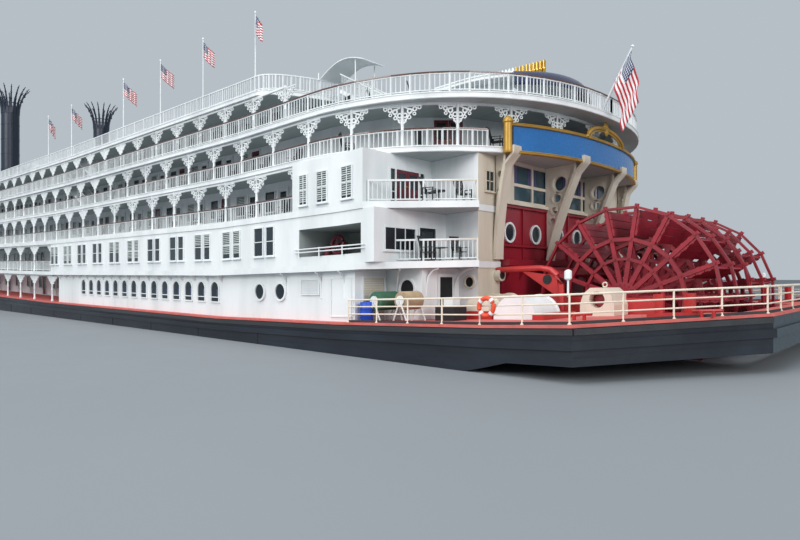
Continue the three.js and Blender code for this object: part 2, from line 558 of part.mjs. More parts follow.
// Deck gear aft: bitts and half-round reel covers
const BITTS = { x: -60.9, y: 8.4, apart: 0.55, radius: 0.2, height: 0.85, foot: [0.9, 0.3, 0.15] };
const REEL = { x: -55.1, y: [8.0, 10.0], radius: 0.95, steps: 8 };
for (const [name, side] of SIDES) {
  const z0 = DECK.main + GAP;
  const [long, wide, high] = BITTS.foot;
  const posts = [-BITTS.apart, BITTS.apart].map(dx => rod([BITTS.x + dx, side * BITTS.y, z0 + high / 2],
    [BITTS.x + dx, side * BITTS.y, z0 + BITTS.height], BITTS.radius, 12));
  const foot = sideBox(side, BITTS.x - long, BITTS.x + long, BITTS.y - wide, BITTS.y + wide, z0, z0 + high);
  node(`bitts_${name}`, join([foot, ...posts]), FINISH.red);
  const reel = Array.from({ length: REEL.steps + 1 }, (_, i) => {
    const [x, z] = polar(REEL.radius, (Math.PI * i) / REEL.steps);
    return [x + REEL.x, z + z0];
  });
  node(`reel_cover_${name}`, plate(reel, ...spanY(side, ...REEL.y)), FINISH.cream);
}

// Organ house on deck five, with a round after end, an overhanging roof and its pipes in a V
const ORGAN = { centre: -48, fore: -46.6, wall: 3.4, roof: 4.33, eaves: 0.4, under: 16.55, top: 16.8 };
const organPlan = (half, fore) => [[fore, half], ...endCurve(ORGAN.centre, -half, half, 2, 8), [fore, -half]];
const PIPES = {
  first: [-48.4, 2.1], last: [-50.8, 0], tops: [17.8, 18.4], radii: [0.08, 0.14], rows: 5,
};
const pipes = [];
for (let i = 0; i < PIPES.rows; i += 1) {
  const t = i / (PIPES.rows - 1);
  const [x, y] = [0, 1].map(axis => THREE.MathUtils.lerp(PIPES.first[axis], PIPES.last[axis], t));
  const [top, radius] = [PIPES.tops, PIPES.radii].map(ends => THREE.MathUtils.lerp(...ends, t));
  for (const side of t < 1 ? [1, -1] : [1]) {
    pipes.push(rod([x, side * y, ORGAN.top - 0.1], [x, side * y, top], radius, 6));
  }
}
const organWalls = slab(organPlan(ORGAN.wall, ORGAN.fore), DECK.five + GAP, ORGAN.under + 0.1);
const organRoof = slab(organPlan(ORGAN.roof, ORGAN.fore + ORGAN.eaves), ORGAN.under, ORGAN.top);
node('calliope_house', join([organWalls, organRoof, ...pipes]), FINISH.white);

// House on the roof forward, with the hollow pilothouse on top
const TEXAS = { x0: 31.5, x1: 43, half: 6.2, top: 19.2 };
node('texas_house', box(TEXAS.x0, TEXAS.x1, -TEXAS.half, TEXAS.half, DECK.six + GAP, TEXAS.top),
  FINISH.white);
const PILOT = {
  x0: 37.5, x1: 42.5, half: 2.9, floor: TEXAS.top + 0.12, top: 22.0, wall: 0.12, eaves: 0.4, roof: 0.2,
};
const PILOT_WINDOWS = {
  count: 3, z: [PILOT.floor + 0.95, PILOT.top - 0.25],
  side: { first: 0.45, pitch: 1.45, width: 1.2 }, end: { first: 0.5, pitch: 1.7, width: 1.4 },
};
const DOME = { x: 40, radius: 2.2, top: 0.5, height: 1.0 };
const pilotBox = (grow, z0, z1) =>
  box(PILOT.x0 - grow, PILOT.x1 + grow, -PILOT.half - grow, PILOT.half + grow, z0, z1);
const pilotWindows = [];
for (let i = 0; i < PILOT_WINDOWS.count; i += 1) {
  const [x, y] = [[PILOT.x0, PILOT_WINDOWS.side], [-PILOT.half, PILOT_WINDOWS.end]]
    .map(([corner, { first, pitch }]) => corner + first + i * pitch);
  pilotWindows.push(box(x, x + PILOT_WINDOWS.side.width, -ACROSS, ACROSS, ...PILOT_WINDOWS.z));
  pilotWindows.push(box(PILOT.x0 - 1, PILOT.x1 + 1, y, y + PILOT_WINDOWS.end.width, ...PILOT_WINDOWS.z));
}
node('pilothouse', cut(pilotBox(0, TEXAS.top + GAP, PILOT.top),
  [pilotBox(-PILOT.wall, PILOT.floor, PILOT.top + 1), ...pilotWindows]), FINISH.white);
node('pilothouse_roof', join([pilotBox(PILOT.eaves, PILOT.top + GAP, PILOT.top + PILOT.roof),
  rod([DOME.x, 0, PILOT.top + PILOT.roof / 2], [DOME.x, 0, PILOT.top + DOME.height], DOME.radius, 12, DOME.top)]),
FINISH.white);

// Chimneys that fold aft about the after edge of their bases
lift = LEVEL;
const CHIMNEY = {
  x: 28.9, y: 6.1, radius: 1.1, top: 29.1, leaves: 8, leafHalf: 0.16, collar: [0.4, 0.15, 0.12],
  leaf: [[-0.3, 0.85], [2.0, 1.15], [3.2, 2.21], [3.2, 2.45], [2.0, 1.5], [-0.3, 1.15]],  // (z, radius)
};
const BASE = { height: 1.25, radius: 1.3 };
const baseFoot = DECK.six + sheer(CHIMNEY.x + BASE.radius) + GAP;
for (const [name, side] of SIDES) {
  const y = side * CHIMNEY.y;
  const foot = baseFoot + BASE.height;
  const round = (z0, z1, radius) => rod([CHIMNEY.x, y, z0], [CHIMNEY.x, y, z1], radius, 16);
  node(`chimney_base_${name}`, round(baseFoot, foot - GAP, BASE.radius), FINISH.navy);
  const [low, high, proud] = CHIMNEY.collar;
  const pipe = [round(foot, CHIMNEY.top, CHIMNEY.radius),
    round(CHIMNEY.top - low, CHIMNEY.top - high, CHIMNEY.radius + proud)];
  for (let i = 0; i < CHIMNEY.leaves; i += 1) {
    const leaf = CHIMNEY.leaf.map(([z, r]) => [r, CHIMNEY.top + z]);
    pipe.push(plate(leaf, -CHIMNEY.leafHalf, CHIMNEY.leafHalf, [], geometry =>
      geometry.rotateZ((2 * Math.PI * i) / CHIMNEY.leaves).translate(CHIMNEY.x, y, 0)));
  }
  node(`chimney_${name}`, join(pipe), FINISH.navy);
}

// Landing stages on turntables at the bow
const STAGE = {
  x: 54, y: 6.4, length: 12.5, half: 1.1, raised: 55, start: 0.9, thick: 0.24,
  truss: { z: [-0.1, 1.0], width: 0.1, holes: 4, pitch: 2.8, first: 1.2, hole: [2.5, 0.2, 0.85] },
};
const HEEL = { x: [-0.28, 1.0], half: 0.8, boss: 0.3, pin: 0.16 };
const TURNTABLE = { radius: 1.35, height: 0.35, pinZ: 0.95, ears: { y: 0.95, half: [0.3, 0.1], over: 0.3 } };
const stageDeck = DECK.main + sheer(STAGE.x + TURNTABLE.radius) + GAP;
const pinZ = stageDeck + TURNTABLE.pinZ;
for (const [name, side] of SIDES) {
  const y0 = side * STAGE.y;
  const { ears } = TURNTABLE;
  const drum = rod([STAGE.x, y0, stageDeck], [STAGE.x, y0, stageDeck + TURNTABLE.height], TURNTABLE.radius, 14);
  const cheeks = [-1, 1].map(e => {
    const y = y0 + e * ears.y;
    return box(STAGE.x - ears.half[0], STAGE.x + ears.half[0], y - ears.half[1], y + ears.half[1],
      stageDeck + TURNTABLE.height - 0.05, pinZ + ears.over);
  });
  const pin = rod([STAGE.x, y0 - ears.y, pinZ], [STAGE.x, y0 + ears.y, pinZ], HEEL.pin, 12);
  node(`stage_turntable_${name}`, join([drum, ...cheeks, pin]), FINISH.red);

  const { truss } = STAGE;
  const flat = (x0, x1, half) => box(x0, x1, -half, half, -STAGE.thick / 2, STAGE.thick / 2);
  const boss = rod([0, -HEEL.half, 0], [0, HEEL.half, 0], HEEL.boss, 16);
  const openings = Array.from({ length: truss.holes }, (_, i) => {
    const x = truss.first + i * truss.pitch;
    return rectangle(x, x + truss.hole[0], truss.hole[1], truss.hole[2]);
  });
  const trusses = [-1, 1].map(e => plate(rectangle(STAGE.start, STAGE.length, ...truss.z),
    e * STAGE.half - truss.width / 2, e * STAGE.half + truss.width / 2, openings));
  const walk = flat(STAGE.start, STAGE.length, STAGE.half);
  const stage = join([walk, flat(...HEEL.x, HEEL.half), boss, ...trusses])
    .subtract(rod([0, -ACROSS, 0], [0, ACROSS, 0], HEEL.pin + 0.01, 12));
  node(`landing_stage_${name}`, stage, FINISH.white, mesh => {
    mesh.rotation.y = -STAGE.raised * DEG;
    mesh.position.set(STAGE.x * MM, y0 * MM, pinZ * MM);
  });
}
lift = WITH_DECKS;

// Jackstaff on the foredeck
const JACKSTAFF = { x: 60, top: 15, radius: 0.14, tip: 0.07, shoe: [0.35, 0.5] };
const bowDeck = DECK.main + GAP;
node('jackstaff', join([
  rod([JACKSTAFF.x, 0, bowDeck], [JACKSTAFF.x, 0, JACKSTAFF.top], JACKSTAFF.radius, 8, JACKSTAFF.tip),
  rod([JACKSTAFF.x, 0, bowDeck], [JACKSTAFF.x, 0, bowDeck + JACKSTAFF.shoe[1]], JACKSTAFF.shoe[0], 8)]),
FINISH.white);

export default boat;
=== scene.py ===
# Sternwheel paddle boat at 1:10: joinery, fittings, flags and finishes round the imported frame.
#
# Lengths are full-size metres, as in the part's source, and SCALE turns them into the model's.
# +X is the bow, +Y is port and +Z is up. Shapes are drawn level and then lifted with the sheer.

from math import copysign, cos, hypot, pi, radians, sin

import bmesh
import bpy
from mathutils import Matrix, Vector


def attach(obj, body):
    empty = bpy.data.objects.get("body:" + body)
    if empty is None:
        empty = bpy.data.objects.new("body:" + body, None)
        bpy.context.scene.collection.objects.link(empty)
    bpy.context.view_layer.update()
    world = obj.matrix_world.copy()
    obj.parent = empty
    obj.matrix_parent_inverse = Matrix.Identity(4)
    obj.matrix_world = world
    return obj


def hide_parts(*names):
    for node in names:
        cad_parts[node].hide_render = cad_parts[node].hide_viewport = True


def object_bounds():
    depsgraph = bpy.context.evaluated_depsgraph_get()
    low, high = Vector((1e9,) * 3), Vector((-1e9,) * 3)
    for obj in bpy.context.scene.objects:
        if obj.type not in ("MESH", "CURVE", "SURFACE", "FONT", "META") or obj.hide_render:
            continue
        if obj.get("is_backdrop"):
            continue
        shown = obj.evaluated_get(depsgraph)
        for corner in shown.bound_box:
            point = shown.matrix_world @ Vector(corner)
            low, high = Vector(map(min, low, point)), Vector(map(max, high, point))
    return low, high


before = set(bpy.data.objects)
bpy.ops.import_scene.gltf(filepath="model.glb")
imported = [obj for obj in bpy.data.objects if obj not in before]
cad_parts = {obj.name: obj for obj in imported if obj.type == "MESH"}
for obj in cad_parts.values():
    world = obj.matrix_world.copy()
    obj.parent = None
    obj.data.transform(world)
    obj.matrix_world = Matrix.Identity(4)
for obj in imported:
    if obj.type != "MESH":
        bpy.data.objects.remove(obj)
cad_low, cad_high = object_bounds()

SCALE = 0.1
GAP = 0.003
SIDES = (("port", 1), ("starboard", -1))

# Places that the part's source gives, repeated here by name
KNOTS = (-64.5, -56, -48, -38, -10, 20, 45, 65)
DECK = {"main": 3.8, "two": 6.4, "three": 9.05, "four": 11.75, "five": 14.2, "six": 16.75}
SLAB = 0.3
STERN_CENTRE = -44.3
ROUND_POWER = 2.2
ROUND_DECKS = {
    "four": {"half": 12.8, "stern": 10.1, "bow": 7, "aft": STERN_CENTRE},
    "five": {"half": 12.3, "stern": 10.7, "bow": 6.5, "aft": STERN_CENTRE},
    "six": {"half": 11.5, "stern": 3.2, "bow": 5, "aft": -38.4},
}
BOW_CENTRE = 40
BEAM = 0.12
RAIL_HEIGHT = 0.95
FRONT = -52.25                         # aft face of the bulkhead and of the saloon's windows
WING_AFT = -52.2                       # aft face of the white wings beside it
WHEEL = {"x": -57.4, "z": 5.1, "radius": 4.27, "arms": 18, "phase": {"port": 158.4, "starboard": 168.4},
         "discs": (0.09, 2.33, 4.57), "thick": 0.13}
WATERLINE = 2.6


def sheer_at(x):
    if x < -33:
        return 0.95 * ((-33 - x) / 30.7) ** 2
    return 1.8 * ((x + 33) / 96.7) ** 2


def sheer(x):
    i = 1
    while i < len(KNOTS) - 1 and x > KNOTS[i]:
        i += 1
    a, b = KNOTS[i - 1], KNOTS[i]
    return sheer_at(a) + (sheer_at(b) - sheer_at(a)) * (x - a) / (b - a)


def round_end(centre, reach, half, degrees):
    c, s = cos(radians(degrees)), sin(radians(degrees))
    return (centre + reach * abs(c) ** (2 / ROUND_POWER),
            half * copysign(abs(s) ** (2 / ROUND_POWER), s))


def about(middle, half):
    return (middle - half, middle + half)


# Finishes

def linear(hex_colour):
    """An sRGB hex colour as linear light, with alpha."""
    parts = [int(hex_colour[i:i + 2], 16) / 255 for i in (1, 3, 5)]
    return [c / 12.92 if c <= 0.04045 else ((c + 0.055) / 1.055) ** 2.4 for c in parts] + [1.0]


def add(tree, kind, values=None, links=None, **settings):
    """One shader node with its settings, its socket values and what is wired into it."""
    made = tree.nodes.new(kind)
    for key, value in settings.items():
        setattr(made, key, value)
    for socket, value in (values or {}).items():
        made.inputs[socket].default_value = value
    for socket, source in (links or {}).items():
        tree.links.new(source, made.inputs[socket])
    return made


def finish(name, base, soiled, roughness, grain, relief, soiling, stretch=(1, 1, 1),
           metallic=0.0, coat=0.0, sheen=0.0):
    """A finish of two colours over one pattern, whose grain is a size in model millimetres.

    stretch draws the pattern out along an axis: runs down a wall, grain along a plank.
    """
    material = bpy.data.materials.new(name)
    material.use_nodes = True
    tree = material.node_tree
    tree.nodes.clear()
    place = add(tree, "ShaderNodeTexCoord").outputs["Object"]
    drawn = add(tree, "ShaderNodeMapping", {"Scale": stretch}, {"Vector": place}).outputs["Vector"]
    frequency = 1000.0 / grain
    broad, fine = (
        add(tree, "ShaderNodeTexNoise", values, {"Vector": drawn}).outputs["Fac"]
        for values in ({"Scale": frequency / 12, "Detail": 5.0, "Roughness": 0.6},
                       {"Scale": frequency, "Detail": 3.0}))
    where = add(tree, "ShaderNodeMapRange", {"From Min": 0.42, "From Max": 0.78, "To Max": soiling},
                {"Value": broad}).outputs["Result"]
    mixed = add(tree, "ShaderNodeMix", {6: linear(base), 7: linear(soiled)}, {0: where}, data_type="RGBA")
    gloss = add(tree, "ShaderNodeMapRange", {"To Min": max(0.03, roughness - 0.08),
                                             "To Max": roughness + 0.12}, {"Value": fine}).outputs["Result"]
    bump = add(tree, "ShaderNodeBump", {"Strength": relief, "Distance": 0.002},
               {"Height": fine}).outputs["Normal"]
    shader = add(tree, "ShaderNodeBsdfPrincipled",
                 {"Metallic": metallic, "Coat Weight": coat, "Sheen Weight": sheen},
                 {"Base Color": mixed.outputs[2], "Roughness": gloss, "Normal": bump})
    add(tree, "ShaderNodeOutputMaterial", links={"Surface": shader.outputs["BSDF"]})
    return material


# Alkyd enamel rolled on steel plate: satin, with faint grey runs under the ledges
WHITE_ENAMEL = finish("white_alkyd_enamel_on_steel", "#e4e8ea", "#a9b1b3", 0.42, 14, 0.1, 0.45,
    (1, 1, 0.18))
# Cream enamel; on the white walls' aft faces the cream is painted warm light bounced from the red deck, with
# dirt
CREAM_ENAMEL_AND_BOUNCE_LIGHT = finish("cream_alkyd_enamel_and_painted_bounce_light", "#d6cebf", "#978d7b", 0.42, 14, 0.1, 0.55,
    (1, 1, 0.18))
# Deck undersides: the white enamel greyed, as painted shade
SOFFIT_PAINTED_SHADE = finish("white_enamel_on_beaded_board_greyed_as_painted_shade", "#b7c0c1", "#8b9494", 0.55, 12, 0.12, 0.4, (1, 6, 1))
# The quarter bay's walls: white enamel greyed as painted shade of the recess
RECESS_PAINTED_SHADE = finish("white_enamel_greyed_as_painted_recess_shade", "#a3a9a8", "#737a79", 0.6, 14, 0.1, 0.5,
    (1, 1, 0.18))
# Epoxy on hull plate: near black, scuffed to slate along the side
HULL_EPOXY = finish("black_epoxy_on_hull_plate", "#0d131f", "#2c3540", 0.38, 16, 0.2, 0.6, (0.3, 1, 1))
TRANSOM_EPOXY = finish("slate_epoxy_on_hull_plate", "#36434c", "#222c34", 0.45, 16, 0.2, 0.5, (1, 0.5, 1))
RUBBING_TIMBER = finish("weathered_oak_rubbing_strake", "#34363a", "#1a1c20", 0.75, 7, 0.5, 0.8,
    (0.12, 1, 1))
# Non-slip deck paint with silica grit, which takes off all gloss
DECK_PAINT = finish("red_gritted_deck_paint", "#c9655f", "#8e4a45", 0.85, 5, 0.5, 0.6)
GREY_DECK_PAINT = finish("grey_gritted_deck_paint", "#8f989b", "#70787b", 0.85, 5, 0.4, 0.5)
# Gloss enamels, brushed on: the brush's lines show in the gloss
BULKHEAD_ENAMEL = finish("crimson_enamel_on_riveted_plate", "#8e1c2c", "#5d131f", 0.32, 12, 0.15, 0.6,
    (1, 1, 0.2))
WHEEL_ENAMEL = finish("crimson_enamel_on_planed_oak", "#8c0d24", "#520a19", 0.5, 8, 0.4, 0.7,
    (0.5, 0.5, 1))
WHEEL_IRON = finish("crimson_enamel_on_wrought_iron", "#850d22", "#4c0917", 0.45, 9, 0.2, 0.6)
GEAR_ENAMEL = finish("red_gloss_enamel_on_cast_steel", "#b02a2b", "#75201f", 0.35, 9, 0.2, 0.55)
NAVY_ENAMEL = finish("navy_heat_enamel_on_rolled_steel", "#1b2638", "#0e1522", 0.4, 14, 0.2, 0.6,
    (1, 1, 0.2))
SIGN_ENAMEL = finish("azure_signwriters_enamel", "#1f68ab", "#1a558c", 0.25, 20, 0.05, 0.4)
DOOR_ENAMEL = finish("maroon_enamel_on_panelled_timber", "#6b2330", "#4a1822", 0.35, 8, 0.3, 0.5,
    (1, 1, 0.15))
# Gold leaf on carved wood: warm, slightly uneven where the sheets lap
GOLD_LEAF = finish("gold_leaf_on_carved_wood", "#bb9442", "#8d6a2a", 0.42, 10, 0.3, 0.7, metallic=0.4)
PIPE_BRASS = finish("spun_brass_pipe", "#d9b25a", "#a47d2f", 0.28, 6, 0.1, 0.5, (1, 1, 0.1),
    metallic=1.0)
# Varnished hardwood rail caps: brown with the grain along the boat
RAIL_HARDWOOD = finish("varnished_mahogany_rail_cap", "#5a3a30", "#38241f", 0.3, 4, 0.2, 0.7,
    (0.1, 1, 1), coat=0.4)
# Glass over a dark cabin, toned blue-black from outside as painted shade of the unlit cabin behind it
WINDOW_GLASS = finish("float_glass_with_painted_cabin_shade", "#1c272d", "#33434c", 0.06, 60, 0.02, 0.8)
# The saloon's panes: blue-grey as painted shade of the saloon with painted reflection
SALOON_GLASS = finish("float_glass_with_painted_saloon_shade_and_reflection", "#35505c", "#1f343e", 0.05, 80, 0.02, 0.8)
CURTAIN = finish("pleated_cotton_curtain", "#c3cbc8", "#87908e", 0.9, 4, 0.6, 0.9, (1, 1, 0.04), sheen=0.2)
SALOON_CURTAIN = finish("violet_lined_curtain", "#4d4a78", "#37345c", 0.85, 4, 0.5, 0.7, (1, 1, 0.04),
    sheen=0.2)
RAIL_ENAMEL = finish("ivory_enamel_on_pipe", "#e6dccb", "#b7ab98", 0.4, 8, 0.15, 0.5)
MANILA = finish("laid_manila_rope", "#a89478", "#7d6b53", 0.9, 3, 0.6, 0.7)
# Near black: painted shade in open doors, ports and panes that look into dark rooms
DARK_OPENING = finish("near_black_painted_shade_in_openings", "#15191c", "#23292d", 0.9, 20, 0.05, 0.5)
ROPE_FIBRE = finish("laid_polypropylene_rope", "#3f6f57", "#284a3a", 0.8, 3, 0.6, 0.6)
BARREL_PLASTIC = finish("blow_moulded_polyethylene_blue", "#1f4fc2", "#173a92", 0.45, 20, 0.05, 0.4)
RING_FOAM = finish("orange_vinyl_dipped_foam", "#e2502f", "#b53c22", 0.5, 12, 0.1, 0.4)
# Black rubber, and near-black discs that stand as painted shade in holes
BLACK_RUBBER_AND_HOLE_SHADE = finish("moulded_black_rubber_and_painted_hole_shade", "#17181a", "#26282a", 0.7, 8, 0.3, 0.5)
CAST_IRON = finish("cast_iron_under_grey_primer", "#6f757a", "#4b5054", 0.5, 6, 0.3, 0.6, metallic=0.6)
AWNING_CANVAS = finish("navy_woven_acrylic_canvas", "#16264a", "#0d1730", 0.85, 3, 0.4, 0.5, sheen=0.3)
FLAG_RED = finish("red_sewn_nylon", "#b4232f", "#8d1a25", 0.6, 4, 0.3, 0.5, sheen=0.3)
FLAG_WHITE = finish("white_sewn_nylon", "#eceff1", "#c9ced2", 0.6, 4, 0.3, 0.5, sheen=0.3)
FLAG_BLUE = finish("blue_sewn_nylon", "#25325f", "#1a2446", 0.6, 4, 0.3, 0.5, sheen=0.3)
PATIO_IRON = finish("black_powder_coat_on_wrought_iron", "#1e2124", "#34383c", 0.5, 5, 0.2, 0.4)
STUDIO_FLOOR = finish("grey_studio_vinyl", "#858b90", "#7c8287", 0.7, 400, 0.0, 0.6)


# Solids gathered into one mesh

BLOCK_FACES = [(3, 2, 1, 0), (4, 5, 6, 7), (0, 1, 5, 4), (1, 2, 6, 5), (2, 3, 7, 6), (3, 0, 4, 7)]


def stand(name, data):
    """A new object in the scene with this data."""
    made = bpy.data.objects.new(name, data)
    bpy.context.scene.collection.objects.link(made)
    return made


class Joinery:
    """Boxes, bars and cut plates that become one piece, lifted with the sheer unless level."""

    def __init__(self, level=False):
        self.points = []
        self.faces = []
        self.level = level

    def solid(self, points, faces):
        base = len(self.points)
        for x, y, z in points:
            self.points.append((x, y, z if self.level else z + sheer(x)))
        self.faces += [tuple(base + i for i in face) for face in faces]

    def box(self, x, y, z):
        (x0, x1), (y0, y1), (z0, z1) = sorted(x), sorted(y), sorted(z)
        corners = [(a, b, c) for c in (z0, z1) for a, b in ((x0, y0), (x1, y0), (x1, y1), (x0, y1))]
        self.solid(corners, BLOCK_FACES)

    def bar(self, start, end, width, depth=None):
        """A squared bar; width is level and across it, depth is the other way."""
        depth = width if depth is None else depth
        a, b = Vector(start), Vector(end)
        along = (b - a).normalized()
        across = along.cross(Vector((0, 0, 1)))
        across = Vector((1, 0, 0)) if across.length < 1e-4 else across.normalized()
        up = across.cross(along).normalized()
        ring = [across * (sx * width / 2) + up * (sz * depth / 2)
                for sx, sz in ((-1, -1), (1, -1), (1, 1), (-1, 1))]
        self.solid([tuple(p + r) for p in (a, b) for r in ring], BLOCK_FACES)

    def rail(self, line, z, width, depth=None):
        """Bars end to end along a line of (x, y), at one height before the sheer."""
        for a, b in zip(line, line[1:]):
            self.bar((*a, z), (*b, z), width, depth)

    def rod(self, start, end, radius, sides=8):
        self.turned([(0, radius), (1, radius)], start, end, sides)

    def lathe(self, profile, x, y, low, high, sides=8):
        """An upright turned shape."""
        self.turned(profile, (x, y, low), (x, y, high), sides)

    def turned(self, profile, start, end, sides=8):
        """A turned shape between two points, from a profile of (share of the way, radius)."""
        a, b = Vector(start), Vector(end)
        along = (b - a).normalized()
        helper = Vector((0, 0, 1)) if abs(along.z) < 0.9 else Vector((1, 0, 0))
        u = along.cross(helper).normalized()
        v = along.cross(u).normalized()
        turns = [2 * pi * i / sides for i in range(sides)]
        self.loft([[a.lerp(b, share) + (u * cos(t) + v * sin(t)) * radius for t in turns]
                   for share, radius in profile])

    def plate(self, outline, thickness_vector):
        """A flat outline of 3-D points, made thick by a vector."""
        t = Vector(thickness_vector)
        n = len(outline)
        points = [tuple(Vector(p)) for p in outline] + [tuple(Vector(p) + t) for p in outline]
        faces = [tuple(range(n)), tuple(reversed(range(n, 2 * n)))]
        faces += [(i + n, (i + 1) % n + n, (i + 1) % n, i) for i in range(n)]
        self.solid(points, faces)

    def loft(self, rings, capped=True):
        """A solid through rings of points, each with as many points as the last."""
        n, last = len(rings[0]), (len(rings) - 1) * len(rings[0])
        faces = [(i * n + k, i * n + (k + 1) % n, (i + 1) * n + (k + 1) % n, (i + 1) * n + k)
                 for i in range(len(rings) - 1) for k in range(n)]
        if capped:
            faces += [tuple(reversed(range(n))), tuple(range(last, last + n))]
        self.solid([tuple(point) for ring in rings for point in ring], faces)

    def band(self, inner, outer, thickness_vector, closed=True):
        """A flat ring or strip between two lines of 3-D points, made thick by a vector."""
        t = Vector(thickness_vector)
        n = len(inner)
        rows = [[Vector(p) for p in inner], [Vector(p) for p in outer]]
        points = [tuple(p) for row in rows for p in row] + [tuple(p + t) for row in rows for p in row]
        faces = []
        for i in range(n if closed else n - 1):
            j = (i + 1) % n
            faces += [(i, j, n + j, n + i), (2 * n + i, 3 * n + i, 3 * n + j, 2 * n + j),
                      (i, 2 * n + i, 2 * n + j, j), (n + i, n + j, 3 * n + j, 3 * n + i)]
        if not closed:
            faces += [(0, n, 3 * n, 2 * n), (n - 1, 3 * n - 1, 4 * n - 1, 2 * n - 1)]
        self.solid(points, faces)

    def sweep(self, line, radius, sides=6, closed=False):
        """A round bar along a line of points."""
        pts = [Vector(p) for p in line]
        n = len(pts)
        points, faces = [], []
        for i, p in enumerate(pts):
            before = pts[i - 1] if i or closed else p
            after = pts[(i + 1) % n] if i < n - 1 or closed else p
            along = (after - before).normalized()
            helper = Vector((0, 0, 1)) if abs(along.z) < 0.95 else Vector((1, 0, 0))
            u = along.cross(helper).normalized()
            v = u.cross(along)
            for k in range(sides):
                a = 2 * pi * k / sides
                points.append(tuple(p + (u * cos(a) + v * sin(a)) * radius))
        for i in range(n if closed else n - 1):
            for k in range(sides):
                m, l = (i + 1) % n, (k + 1) % sides
                faces.append((i * sides + k, i * sides + l, m * sides + l, m * sides + k))
        if not closed:
            faces += [tuple(reversed(range(sides))), tuple(range((n - 1) * sides, n * sides))]
        self.solid(points, faces)

    def piece(self, name, material, body="boat", smooth=False, replaces=(), slot=None):
        """The gathered solids as one visible piece on a body; slot is not used."""
        mesh = bpy.data.meshes.new(name)
        mesh.from_pydata([(x * SCALE, y * SCALE, z * SCALE) for x, y, z in self.points], [], self.faces)
        mesh.materials.append(material)
        made = stand(name, mesh)
        bm = bmesh.new()
        bm.from_mesh(mesh)
        bmesh.ops.recalc_face_normals(bm, faces=bm.faces)
        bm.to_mesh(mesh)
        bm.free()
        if smooth:
            mesh.shade_smooth()
            mesh.set_sharp_from_angle(angle=radians(40))
        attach(made, body)
        if replaces:
            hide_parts(*replaces)
        return made


def paint_faces(mesh, material, chosen):
    """Gives one finish to the faces that chosen(normal, centre) picks, in full-size metres."""
    mesh.materials.append(material)
    for face in mesh.polygons:
        if chosen(face.normal, face.center / SCALE):
            face.material_index = len(mesh.materials) - 1


def under(normal, centre):
    return normal.z < -0.7


def over(normal, centre):
    return normal.z > 0.7


def upright_ring(x, y, z, radius, sides):
    turns = [2 * pi * k / sides for k in range(sides)]
    return [(x + radius * cos(t), y, z + radius * sin(t)) for t in turns]


def resample(line, spacing):
    """Points along a level line, evenly spaced between its own points, with both ends."""
    out = []
    for (ax, ay), (bx, by) in zip(line, line[1:]):
        length = hypot(bx - ax, by - ay)
        count = max(1, round(length / spacing))
        for k in range(count):
            t = k / count
            out.append((ax + (bx - ax) * t, ay + (by - ay) * t))
    out.append(line[-1])
    return out


# Lines that the rails follow, from aft to forward, all on one side

def side_points(x0, x1, y, step):
    count = max(1, round((x1 - x0) / step))
    stops = {x0 + (x1 - x0) * k / count for k in range(count + 1)} | {k for k in KNOTS if x0 < k < x1}
    return [(x, y) for x in sorted(stops)]


def round_line(centre, reach, half, first, last, step):
    count = max(1, round(abs(last - first) / step))
    return [round_end(centre, reach, half, first + (last - first) * k / count) for k in range(count + 1)]


# Frame's CAD nodes and their finishes

# Aft faces of the white walls by the wheel: their cream is painted light bounced from the red deck, with dirt
def behind_wheel(normal, centre):
    return normal.x < -0.7 and centre.x < -52


def bearing_cover(normal, centre):
    return abs(centre.x - WHEEL["x"]) < 0.9 and abs(centre.y) > 5.92


def transom(normal, centre):
    return normal.x < -0.9 and centre.x < -63.5


def quarter_bay(normal, centre):
    return (-49.6 < centre.x < -45.1 and 10 < abs(centre.y) < 13.3
            and 6.8 < centre.z - sheer(centre.x) < 8.2)


def node_meshes(names):
    """Meshes of the CAD nodes named; a name that ends in _ stands for port's and starboard's."""
    for name in names.split():
        for end in ("port", "starboard") if name.endswith("_") else ("",):
            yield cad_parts[name + end].data


NODE_FINISHES = (
    (HULL_EPOXY, "hull rudder_"),
    (DECK_PAINT, "main_deck"),
    (WHITE_ENAMEL, "main_house deck_two deck_three deck_four deck_five deck_six deckhouse_two"),
    (WHITE_ENAMEL, "deckhouse_three deckhouse_four deckhouse_five stern_cabins_two stern_cabins_three"),
    (WHITE_ENAMEL, "texas_house pilothouse pilothouse_roof jackstaff railing_after_deck engine_room_door_"),
    (WHITE_ENAMEL, "calliope_house reel_cover_ landing_stage_"),
    (CREAM_ENAMEL_AND_BOUNCE_LIGHT, "saloon_window_frame knee_port_outer knee_port_inner knee_starboard_inner"),
    (CREAM_ENAMEL_AND_BOUNCE_LIGHT, "knee_starboard_outer"),
    (BULKHEAD_ENAMEL, "engine_bulkhead"),
    (CAST_IRON, "steam_engine"),
    (SIGN_ENAMEL, "sign_board"),
    (GOLD_LEAF, "sign_frame"),
    (WHEEL_ENAMEL, "wheel_shaft paddle_wheel_"),
    (GEAR_ENAMEL, "cylinder_timber_ bitts_ stage_turntable_"),
    (NAVY_ENAMEL, "chimney_base_ chimney_"),
)
PARTLY_PAINTED = (
    # undersides of decks two and three greyed as painted shade
    (SOFFIT_PAINTED_SHADE, "deck_two deck_three", under),
    (GREY_DECK_PAINT, "deck_two deck_three", over),
    # aft faces take cream: painted bounce light from the red deck, with dirt
    (CREAM_ENAMEL_AND_BOUNCE_LIGHT, "stern_cabins_two stern_cabins_three main_house", behind_wheel),
    (CREAM_ENAMEL_AND_BOUNCE_LIGHT, "cylinder_timber_", bearing_cover),
    # the bay's recessed faces greyed as painted shade
    (RECESS_PAINTED_SHADE, "stern_cabins_two", quarter_bay),
    (TRANSOM_EPOXY, "hull", transom),
)
for material, names in NODE_FINISHES:
    for mesh in node_meshes(names):
        mesh.materials.clear()
        mesh.materials.append(material)
